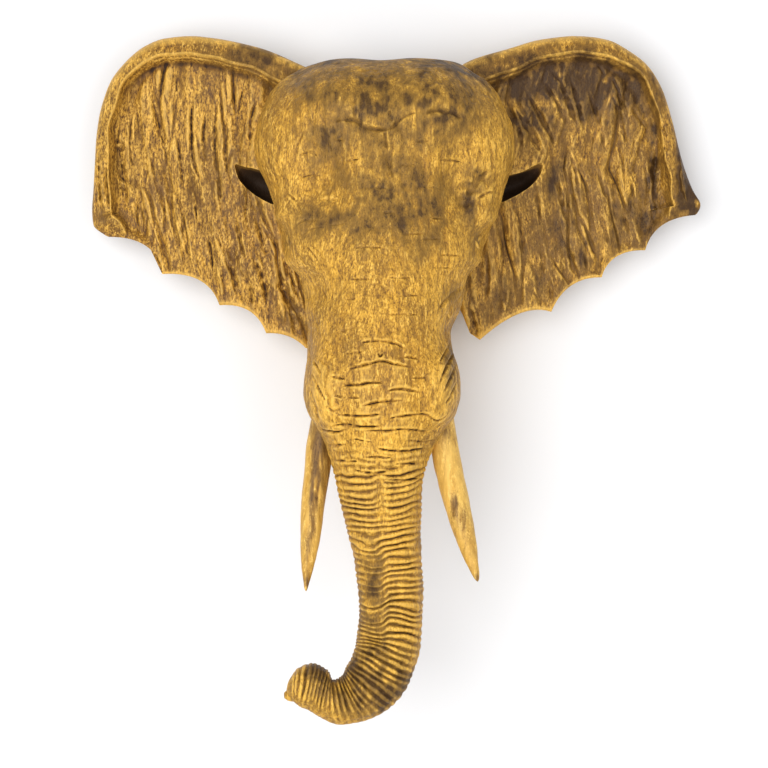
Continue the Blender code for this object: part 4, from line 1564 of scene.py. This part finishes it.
class Tree:
    """Adds nodes to a material or a node group."""

    def __init__(self, tree: bpy.types.NodeTree) -> None:
        """Starts on a tree.

        Args:
            tree: The tree to add to.
        """
        self.tree = tree
        self.count = 0

    def add(self, kind: str, **settings: object) -> bpy.types.Node:
        """Adds a node.

        Args:
            kind: Its type.
            **settings: Its properties.

        Returns:
            The node.
        """
        node = self.tree.nodes.new(kind)
        node.location = (220 * (self.count % 9), -260 * (self.count // 9))
        self.count += 1
        for name, value in settings.items():
            setattr(node, name, value)
        return node

    def put(self, value: object, socket: Socket) -> None:
        """Links or sets an input.

        Args:
            value: A socket to link from, or a plain value.
            socket: The input.
        """
        if isinstance(value, bpy.types.NodeSocket):
            self.tree.links.new(value, socket)
        else:
            socket.default_value = value

    def maths(self, operation: str, one: object, two: object = 0.0, clamp: bool = False) -> Socket:
        """One step of arithmetic on values.

        Args:
            operation: What it does.
            one: First value.
            two: Second value.
            clamp: Whether the result stays between 0 and 1.

        Returns:
            The result.
        """
        node = self.add("ShaderNodeMath", operation=operation, use_clamp=clamp)
        self.put(one, node.inputs[0])
        self.put(two, node.inputs[1])
        return node.outputs[0]

    def times(self, one: object, two: object) -> Socket:
        """One value times another."""
        return self.maths("MULTIPLY", one, two)

    def plus(self, one: object, two: object) -> Socket:
        """One value plus another."""
        return self.maths("ADD", one, two)

    def smooth(self, value: object, low: float, high: float, start: float = 0.0, end: float = 1.0) -> Socket:
        """An S curve from start to end as a value goes from low to high.

        Args:
            value: The value.
            low: Where the curve starts.
            high: Where it ends.
            start: What it gives at low and below.
            end: What it gives at high and above.

        Returns:
            The result.
        """
        node = self.add("ShaderNodeMapRange", interpolation_type="SMOOTHSTEP")
        for place, item in enumerate((value, low, high, start, end)):
            self.put(item, node.inputs[place])
        return node.outputs[0]

    def mix(self, share: object, one: object, two: object, kind: str = "MIX") -> Socket:
        """Mixes two colours.

        Args:
            share: How much of the second.
            one: First colour.
            two: Second colour.
            kind: How they mix.

        Returns:
            The colour.
        """
        node = self.add("ShaderNodeMix", data_type="RGBA", blend_type=kind)
        self.put(share, node.inputs[0])
        self.put(one, node.inputs[6])
        self.put(two, node.inputs[7])
        return node.outputs[2]

    def mapped(self, vector: Socket, stretch: Place) -> Socket:
        """Coordinates with a scale for each axis.

        Args:
            vector: Coordinates.
            stretch: Scale of each axis.

        Returns:
            The scaled coordinates.
        """
        node = self.add("ShaderNodeMapping")
        self.put(vector, node.inputs["Vector"])
        node.inputs["Scale"].default_value = stretch
        return node.outputs[0]

    def noise(
        self, vector: Socket, stretch: Place, scale: float, detail: float, rough: float = 0.5
    ) -> Socket:
        """Noise over stretched coordinates, in metres.

        Args:
            vector: Coordinates.
            stretch: Scale of each axis.
            scale: Cells to a metre.
            detail: Octaves.
            rough: How much the finer octaves count.

        Returns:
            The value.
        """
        place = self.mapped(vector, stretch)
        node = self.add("ShaderNodeTexNoise")
        self.put(place, node.inputs["Vector"])
        for name, value in (("Scale", scale), ("Detail", detail), ("Roughness", rough)):
            node.inputs[name].default_value = value
        return node.outputs[0]

    def group(self, made: bpy.types.NodeTree, **values: object) -> bpy.types.Node:
        """Adds a node group.

        Args:
            made: The group.
            **values: Its inputs.

        Returns:
            The group's node.
        """
        node = self.add("ShaderNodeGroup", node_tree=made)
        for name, value in values.items():
            self.put(value, node.inputs[name])
        return node


def new_group(
    name: str, inputs: dict[str, str], outputs: dict[str, str]
) -> tuple[Tree, bpy.types.Node, bpy.types.Node]:
    """Starts a shader node group.

    Args:
        name: Its name.
        inputs: Name and kind of each input.
        outputs: Name and kind of each output.

    Returns:
        The group, the node with its inputs and the node for its outputs.
    """
    made = bpy.data.node_groups.new(name, "ShaderNodeTree")
    for way, sockets in (("INPUT", inputs), ("OUTPUT", outputs)):
        for label, kind in sockets.items():
            made.interface.new_socket(label, in_out=way, socket_type=f"NodeSocket{kind}")
    tree = Tree(made)
    return tree, tree.add("NodeGroupInput"), tree.add("NodeGroupOutput")


def grain_group() -> bpy.types.NodeTree:
    """Grain, patches and flecks of carved wood, from Object coordinates in metres.

    Returns:
        The group, with Streak, Patch, Fleck and Height.
    """
    tree, start, end = new_group(
        "carved wood grain", {"Vector": "Vector"},
        dict.fromkeys(("Streak", "Patch", "Blotch", "Fleck", "Height"), "Float"),
    )
    vector = start.outputs["Vector"]
    streak = tree.noise(vector, (1, 1, 0.11), 330, 4, 0.65)
    broad = tree.noise(vector, (1, 1, 0.45), 13, 4, 0.6)
    blotch = tree.noise(vector, (1, 1, 0.7), 19, 7, 0.7)
    fleck = tree.noise(vector, (1, 1, 0.5), 640, 2, 0.6)
    fine = tree.noise(vector, (1, 1, 0.7), 900, 2, 0.6)
    ring = tree.add("ShaderNodeTexWave", wave_type="BANDS", bands_direction="X", wave_profile="SAW")
    tree.put(tree.mapped(vector, (1, 0.6, 0.16)), ring.inputs["Vector"])
    for name, value in (("Scale", 11), ("Distortion", 9), ("Detail", 3), ("Detail Scale", 1.4)):
        ring.inputs[name].default_value = value
    grain = tree.times(ring.outputs["Fac"], 0.35)
    tree.put(tree.plus(tree.smooth(streak, 0.3, 0.72, 0, 0.7), grain), end.inputs["Streak"])
    tree.put(tree.smooth(broad, 0.32, 0.68), end.inputs["Patch"])
    tree.put(tree.smooth(blotch, 0.44, 0.7), end.inputs["Blotch"])
    level = tree.plus(fleck, tree.times(tree.maths("SUBTRACT", blotch, 0.5), 0.5))
    tree.put(tree.smooth(level, 0.53, 0.68), end.inputs["Fleck"])
    height = tree.plus(tree.times(fleck, 0.6), tree.times(fine, 0.4))
    tree.put(height, end.inputs["Height"])
    return tree.tree


def gouge_group() -> bpy.types.NodeTree:
    """Short strokes of a small gouge, hollow where they are dark, with painted highlights between them, from
    Object coordinates.

    Returns:
        The group, with Shade, Shine, a painted highlight, and Height.
    """
    tree, start, end = new_group(
        "gouge strokes", {"Vector": "Vector"}, dict.fromkeys(("Shade", "Shine", "Height"), "Float")
    )
    vector = start.outputs["Vector"]
    fine = tree.noise(vector, (1, 1, 0.42), 520, 2, 0.6)
    broad = tree.noise(vector, (1, 1, 0.27), 200, 3, 0.66)
    one = tree.times(tree.smooth(fine, 0.5, 0.62), 0.7)
    two = tree.times(tree.smooth(broad, 0.48, 0.62), 0.65)
    tree.put(tree.plus(one, two), end.inputs["Shade"])
    # Painted highlights where both noises are low, between the strokes.
    painted_highlight = tree.plus(tree.times(fine, 0.5), tree.times(broad, 0.5))
    tree.put(tree.maths("SUBTRACT", 1.0, tree.smooth(painted_highlight, 0.36, 0.47)), end.inputs["Shine"])
    height = tree.plus(tree.times(fine, -0.6), tree.times(broad, -1.1))
    tree.put(height, end.inputs["Height"])
    return tree.tree


def patina_group() -> bpy.types.NodeTree:
    """Wax and dirt that gather in the cuts, wear on the ridges, and painted shade in broad hollows, where
    parts meet, inside the slots and on the hidden back.

    Returns:
        The group, with Color and Roughness.
    """
    colours = dict.fromkeys(("Color", "Brown", "Dark", "Gold", "Shade"), "Color")
    values = dict.fromkeys(("Cut", "Deep", "Stain", "Fleck", "Streak", "Patch"), "Float")
    tree, start, end = new_group("patina", colours | values, {"Color": "Color", "Roughness": "Float"})
    get = start.outputs
    uneven = tree.times(tree.maths("SUBTRACT", get["Patch"], 0.5), 0.35)
    cut = tree.plus(get["Cut"], tree.times(get["Fleck"], 0.22))
    deep = tree.plus(get["Deep"], uneven)
    proud = tree.plus(tree.maths("MAXIMUM", get["Cut"], -0.4), tree.maths("MAXIMUM", get["Deep"], -0.35))
    worn = tree.smooth(tree.times(tree.maths("MAXIMUM", proud, -1.0), -1.0), 0.1, 1.0)
    colour = tree.mix(tree.times(worn, 0.62), get["Color"], get["Gold"])
    # Broad hollows turn brown: wax in them, and painted shade where parts meet.
    hollow = tree.smooth(deep, 0.05, 0.8)
    colour = tree.mix(tree.times(hollow, 0.75), colour, get["Brown"])
    sharp = tree.smooth(cut, 0.1, 0.95)
    colour = tree.mix(tree.times(sharp, 0.8), colour, get["Brown"])
    # Near black where cuts lie in broad hollows: wax, and painted shade where parts meet.
    both = tree.smooth(tree.plus(cut, deep), 1.0, 2.1)
    colour = tree.mix(both, colour, get["Dark"])
    # The stain level holds real stains and painted shade: shaded spots, the hidden back, the wall side and
    # the slots.
    level = tree.plus(get["Stain"], tree.times(get["Fleck"], 0.25))
    level = tree.plus(level, tree.times(get["Streak"], 0.2))
    level = tree.maths("SUBTRACT", level, tree.times(worn, 0.4))
    colour = tree.mix(tree.times(tree.smooth(level, 0.15, 0.9), 0.8), colour, get["Shade"])
    brown = tree.mix(tree.times(tree.smooth(level, 0.75, 1.5), 0.85), colour, get["Dark"])
    # Painted shade, near black, where the level is highest: inside the slots above all.
    unlit = tree.times(tree.smooth(level, 1.55, 2.2), 0.5)
    tree.put(tree.mix(unlit, brown, (0.006, 0.003, 0.001, 1)), end.inputs["Color"])
    rough = tree.plus(tree.times(hollow, 0.18), tree.times(worn, -0.08))
    tree.put(tree.plus(rough, tree.smooth(get["Patch"], 0, 1, 0.47, 0.56)), end.inputs["Roughness"])
    return tree.tree


@dataclass(frozen=True)
class WoodFinish:
    """Carved wood under wax, with painted shade and painted highlights in its colour.

    Attributes:
        name: The material's name.
        light: Colour of the pale grain.
        middle: Main colour.
        shade: Colour of the darker patches, and of light stains and painted shade.
        brown: Colour of the wax in shallow cuts, and of the painted shade in broad hollows.
        dark: Colour of deep cuts, of heavy stains and of heavy painted shade.
        gold: Colour of worn ridges and of painted highlights.
        bump: Height of the fine marks, in metres.
        fleck: How strongly flecks darken it.
        blotch: How strongly patches darken it.
        stroke: How dark the strokes of the gouge are.
    """

    name: str
    light: Place
    middle: Place
    shade: Place
    brown: Place
    dark: Place
    gold: Place
    bump: float = 0.0011
    fleck: float = 0.5
    blotch: float = 0.6
    stroke: float = 0.75

    def material(
        self, grain: bpy.types.NodeTree, gouge: bpy.types.NodeTree, patina: bpy.types.NodeTree
    ) -> bpy.types.Material:
        """Makes the material.

        Args:
            grain: The grain group.
            gouge: The gouge strokes group.
            patina: The patina group.

        Returns:
            The material.
        """
        made = bpy.data.materials.new(self.name)
        made.use_nodes = True
        shader = made.node_tree.nodes["Principled BSDF"]
        tree = Tree(made.node_tree)
        where = tree.add("ShaderNodeTexCoord").outputs["Object"]
        marks = tree.group(grain, Vector=where).outputs
        strokes = tree.group(gouge, Vector=where).outputs
        read = {
            name.capitalize(): tree.add("ShaderNodeAttribute", attribute_name=name).outputs["Fac"]
            for name in ("cut", "deep", "stain")
        }
        base = tree.mix(marks["Patch"], (*self.middle, 1), (*self.light, 1))
        base = tree.mix(tree.times(marks["Blotch"], self.blotch), base, (*self.shade, 1))
        base = tree.mix(tree.times(marks["Streak"], 0.36), base, (*self.brown, 1))
        base = tree.mix(tree.times(marks["Fleck"], self.fleck), base, (*self.brown, 1))
        base = tree.mix(tree.maths("MULTIPLY", strokes["Shade"], self.stroke, True), base, (*self.brown, 1))
        # Painted highlights: pale gold dashes between the gouge strokes.
        base = tree.mix(tree.times(strokes["Shine"], 0.7), base, (*self.gold, 1))
        worn = tree.group(
            patina, Color=base, Brown=(*self.brown, 1), Dark=(*self.dark, 1), Gold=(*self.gold, 1),
            Shade=(*self.shade, 1), **read, Fleck=marks["Fleck"], Streak=marks["Streak"],
            Patch=marks["Patch"],
        ).outputs
        tree.put(worn["Color"], shader.inputs["Base Color"])
        tree.put(worn["Roughness"], shader.inputs["Roughness"])
        bump = tree.add("ShaderNodeBump")
        bump.inputs["Strength"].default_value = 0.75
        bump.inputs["Distance"].default_value = self.bump
        height = tree.plus(tree.times(marks["Height"], 0.5), strokes["Height"])
        tree.put(height, bump.inputs["Height"])
        tree.put(bump.outputs[0], shader.inputs["Normal"])
        shader.inputs["Specular IOR Level"].default_value = 0.22
        return made


@dataclass(frozen=True)
class Studio:
    """A pale wall, soft lights and the camera of the photograph.

    Attributes:
        wall: Colour of the wall.
        half: Half width of the wall, in metres.
        distance: From the wall to the camera.
        height: Height of the camera against the origin.
        lens: Focal length, in millimetres.
        lights: Name, place, size and power of each soft light, all aimed at the head.
        ambient: Strength of the light from all round.
        gap: From the wall plane back to the wall, in metres.
        aim: The place that the lights shine at.
        sensor: Width of the camera's sensor, in millimetres.
        contact: Within this distance, in metres, the wall lets light through to the back.
    """

    wall: Place = (0.75, 0.75, 0.76)
    half: float = 6.0
    distance: float = 2.9376
    height: float = -0.25344
    lens: float = 100
    lights: tuple = (
        ("front light", (-1.1, -2.9, -0.1), 2.8, 81.0),
        ("side light", (1.9, -2.5, -0.1), 2.8, 29.0),
        ("low light", (0.0, -2.3, -2.3), 2.4, 20.0),
    )
    ambient: float = 0.6
    gap: float = 0.0006
    aim: Place = (0.0, -0.15, -0.25)
    sensor: float = 36
    contact: float = 0.003

    def build(self) -> None:
        """Puts up the wall, the lights and the camera."""
        scene = bpy.context.scene
        mesh = bpy.data.meshes.new("wall")
        h, y = self.half, self.gap
        mesh.from_pydata([(-h, y, -h), (h, y, -h), (h, y, h), (-h, y, h)], [], [(0, 1, 2, 3)])
        wall = bpy.data.objects.new("wall", mesh)
        scene.collection.objects.link(wall)
        mesh.materials.append(self.paint())

        for name, place, size, power in self.lights:
            lamp = bpy.data.lights.new(name, "AREA")
            lamp.shape = "DISK"
            lamp.size = size
            lamp.energy = power
            made = bpy.data.objects.new(name, lamp)
            made.location = place
            aim = np.array(self.aim) - np.array(place)
            tilt = math.atan2(math.hypot(aim[0], aim[1]), -aim[2])
            made.rotation_euler = (tilt, 0, math.atan2(-aim[0], aim[1]))
            scene.collection.objects.link(made)

        world = bpy.data.worlds.new("studio")
        scene.world = world
        world.use_nodes = True
        background = world.node_tree.nodes["Background"]
        background.inputs[0].default_value = (1, 1, 1, 1)
        background.inputs[1].default_value = self.ambient
        scene.view_settings.view_transform = "Standard"

        lens = bpy.data.cameras.new("camera")
        lens.lens = self.lens
        lens.sensor_width = self.sensor
        camera = bpy.data.objects.new("camera", lens)
        camera.location = (0, -self.distance, self.height)
        camera.rotation_euler = (math.pi / 2, 0, 0)
        scene.collection.objects.link(camera)
        scene.camera = camera

    def paint(self) -> bpy.types.Material:
        """Pale matt paint with a faint unevenness, which doesn't hide or darken the object's back.

        Returns:
            The material.
        """
        made = bpy.data.materials.new("pale wall")
        made.use_nodes = True
        shader = made.node_tree.nodes["Principled BSDF"]
        tree = Tree(made.node_tree)
        where = tree.add("ShaderNodeTexCoord").outputs["Object"]
        cloudy = tree.noise(where, (1, 1, 1), 1.2, 3)
        shade = tree.mix(cloudy, (*[c * 0.985 for c in self.wall], 1), (*self.wall, 1))
        tree.put(shade, shader.inputs["Base Color"])
        shader.inputs["Roughness"].default_value = 0.9
        shader.inputs["Specular IOR Level"].default_value = 0.1
        near = tree.maths("LESS_THAN", tree.add("ShaderNodeLightPath").outputs["Ray Length"], self.contact)
        behind = tree.maths("MAXIMUM", tree.add("ShaderNodeNewGeometry").outputs["Backfacing"], near)
        seen = tree.add("ShaderNodeMixShader")
        clear = tree.add("ShaderNodeBsdfTransparent")
        for item, socket in zip((behind, shader.outputs[0], clear.outputs[0]), seen.inputs):
            tree.put(item, socket)
        tree.put(seen.outputs[0], made.node_tree.nodes["Material Output"].inputs["Surface"])
        return made


HEAD_FINISH = WoodFinish(
    name="waxed carved wood", light=(0.72, 0.39, 0.045), middle=(0.52, 0.26, 0.024),
    shade=(0.17, 0.088, 0.015), brown=(0.13, 0.056, 0.009), dark=(0.03, 0.013, 0.005),
    gold=(0.84, 0.50, 0.09), stroke=0.7, fleck=0.65, blotch=0.55, bump=0.0015,
)
EAR_FINISH = WoodFinish(
    name="waxed carved wood of the ears", light=(0.66, 0.36, 0.05), middle=(0.44, 0.215, 0.024),
    shade=(0.15, 0.075, 0.015), brown=(0.095, 0.04, 0.009), dark=(0.024, 0.01, 0.005),
    gold=(0.82, 0.49, 0.10), fleck=0.7, blotch=0.75, stroke=1.0,
)
TUSK_FINISH = WoodFinish(
    name="waxed tusk wood", light=(0.74, 0.46, 0.10), middle=(0.56, 0.30, 0.045),
    shade=(0.13, 0.06, 0.015), brown=(0.17, 0.07, 0.014), dark=(0.05, 0.02, 0.007),
    gold=(0.84, 0.56, 0.15), bump=0.0002, fleck=0.2, blotch=0.5, stroke=0.15,
)
# Dark spots on the head and trunk: patches of stain, and painted shade on the upper face of the trunk's curl
# (-92, -682), along the trunk's left edge (-54, -500) and in the crease by the right cheek (100, -155). The
# broad spots over the crown, the dome's sides, the brow, the mid face and the curl make these places darker,
# the head most towards the top.
HEAD_STAINS_AND_SHADE = StainsAndShade((
    (0, 196, 200, 24, 0.75), (-30, 145, 60, 40, 0.4), (82, 134, 64, 50, 0.5), (-24, 112, 36, 40, 0.35),
    (88, 102, 44, 24, 0.4), (-92, 66, 32, 30, 0.55), (34, -26, 56, 50, 0.55), (58, -44, 20, 24, 0.5),
    (-96, -56, 40, 30, 0.65), (-22, -78, 26, 22, 0.3), (62, -92, 28, 30, 0.3), (-56, -152, 22, 26, 0.25),
    (134, 10, 12, 22, 0.75), (120, -18, 9, 26, 0.9), (124, -84, 16, 38, 0.3), (-108, 130, 30, 30, 0.3),
    (30, -130, 36, 24, 0.2), (-40, -30, 34, 50, 0.2), (-130, 170, 80, 36, 0.4), (140, 170, 80, 36, 0.45),
    (94, -268, 12, 42, 0.8), (98, -215, 14, 40, 0.4), (-104, -300, 10, 40, 0.25), (-20, -690, 80, 60, 0.5),
    (-92, -682, 34, 14, 0.8), (-20, -665, 18, 12, 0.5), (10, -692, 44, 18, 0.35), (14, -730, 50, 26, 0.55),
    (-137, -78, 7, 10, 0.5), (135, -78, 7, 10, 0.5),
    (100, -155, 22, 14, 0.5), (-54, -500, 8, 60, 0.4),
    (-20, -570, 22, 70, 0.5), (50, -480, 20, 90, 0.35), (0, -620, 70, 80, 0.26), (10, -10, 120, 90, 0.42),
    (0, 90, 150, 60, 0.4), (-60, -715, 60, 30, 0.5), (0, -540, 60, 50, 0.2),
))
# Dark spots on the ears. Both rims are darker along their tops, most next to the skull, and the right ear is
# darker all over. The narrow spots at x 446 to 462 along the right ear's outer edge are painted shade on the
# facets that turn away from the lights.
EAR_STAINS_AND_SHADE = {
    Side.LEFT: StainsAndShade((
        (-170, 205, 70, 30, 1.0), (-225, 225, 90, 12, 0.35), (-150, 150, 40, 50, 0.45),
        (-300, 180, 50, 30, 0.25), (-190, 0, 60, 60, 0.4), (-120, -180, 40, 60, 0.5),
        (-330, -10, 80, 50, 0.25), (-250, 70, 60, 60, 0.25), (-425, -30, 20, 16, 0.5),
        (-372, 60, 8, 90, 0.3),
    )),
    Side.RIGHT: StainsAndShade((
        (160, 200, 60, 26, 0.6), (296, 176, 70, 36, 1.5), (220, 140, 80, 50, 0.9), (360, 150, 70, 40, 0.8),
        (455, 30, 16, 70, 1.5), (462, 0, 14, 40, 1.3), (446, 62, 8, 50, 0.9), (404, 60, 9, 70, 0.8),
        (300, 232, 90, 12, 0.3), (280, 40, 170, 130, 0.5), (290, -90, 120, 60, 0.55),
        (170, -150, 60, 70, 0.5), (395, -30, 60, 40, 0.35), (150, 90, 30, 70, 0.4),
    )),
}
# Dark streaks and tips on the tusks, and painted shade where they leave the cheeks, at (-86, -350) and (84,
# -348).
TUSK_STAINS_AND_SHADE = StainsAndShade((
    (-107, -560, 22, 14, 0.5), (129, -556, 22, 12, 0.6), (-86, -350, 30, 24, 0.6), (84, -348, 30, 20, 0.5),
    (-100, -440, 6, 60, 0.95), (-92, -390, 7, 60, 0.85), (-80, -400, 7, 60, 0.4), (100, -450, 6, 26, 0.8),
    (112, -480, 4, 34, 0.5), (-106, -520, 4, 34, 0.4), (118, -420, 5, 60, 0.3),
), grain=(5, 5, 60))


def main() -> None:
    """Builds the object and its studio."""
    started = time.time()
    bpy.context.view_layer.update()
    groups = grain_group(), gouge_group(), patina_group()
    wood = HEAD_FINISH.material(*groups)
    ear_wood = EAR_FINISH.material(*groups)
    tusk_wood = TUSK_FINISH.material(*groups)
    HeadBlock(wood, HEAD_STAINS_AND_SHADE).pieces()
    for form in EARS:
        Ear(form, ear_wood, EAR_STAINS_AND_SHADE[form.side]).build()
    for side in Side:
        Tusk(side, tusk_wood, TUSK_STAINS_AND_SHADE).build()
    Studio().build()
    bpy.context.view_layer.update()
    log.info("made in %.0f s", time.time() - started)


if __name__ == "__main__":
    main()
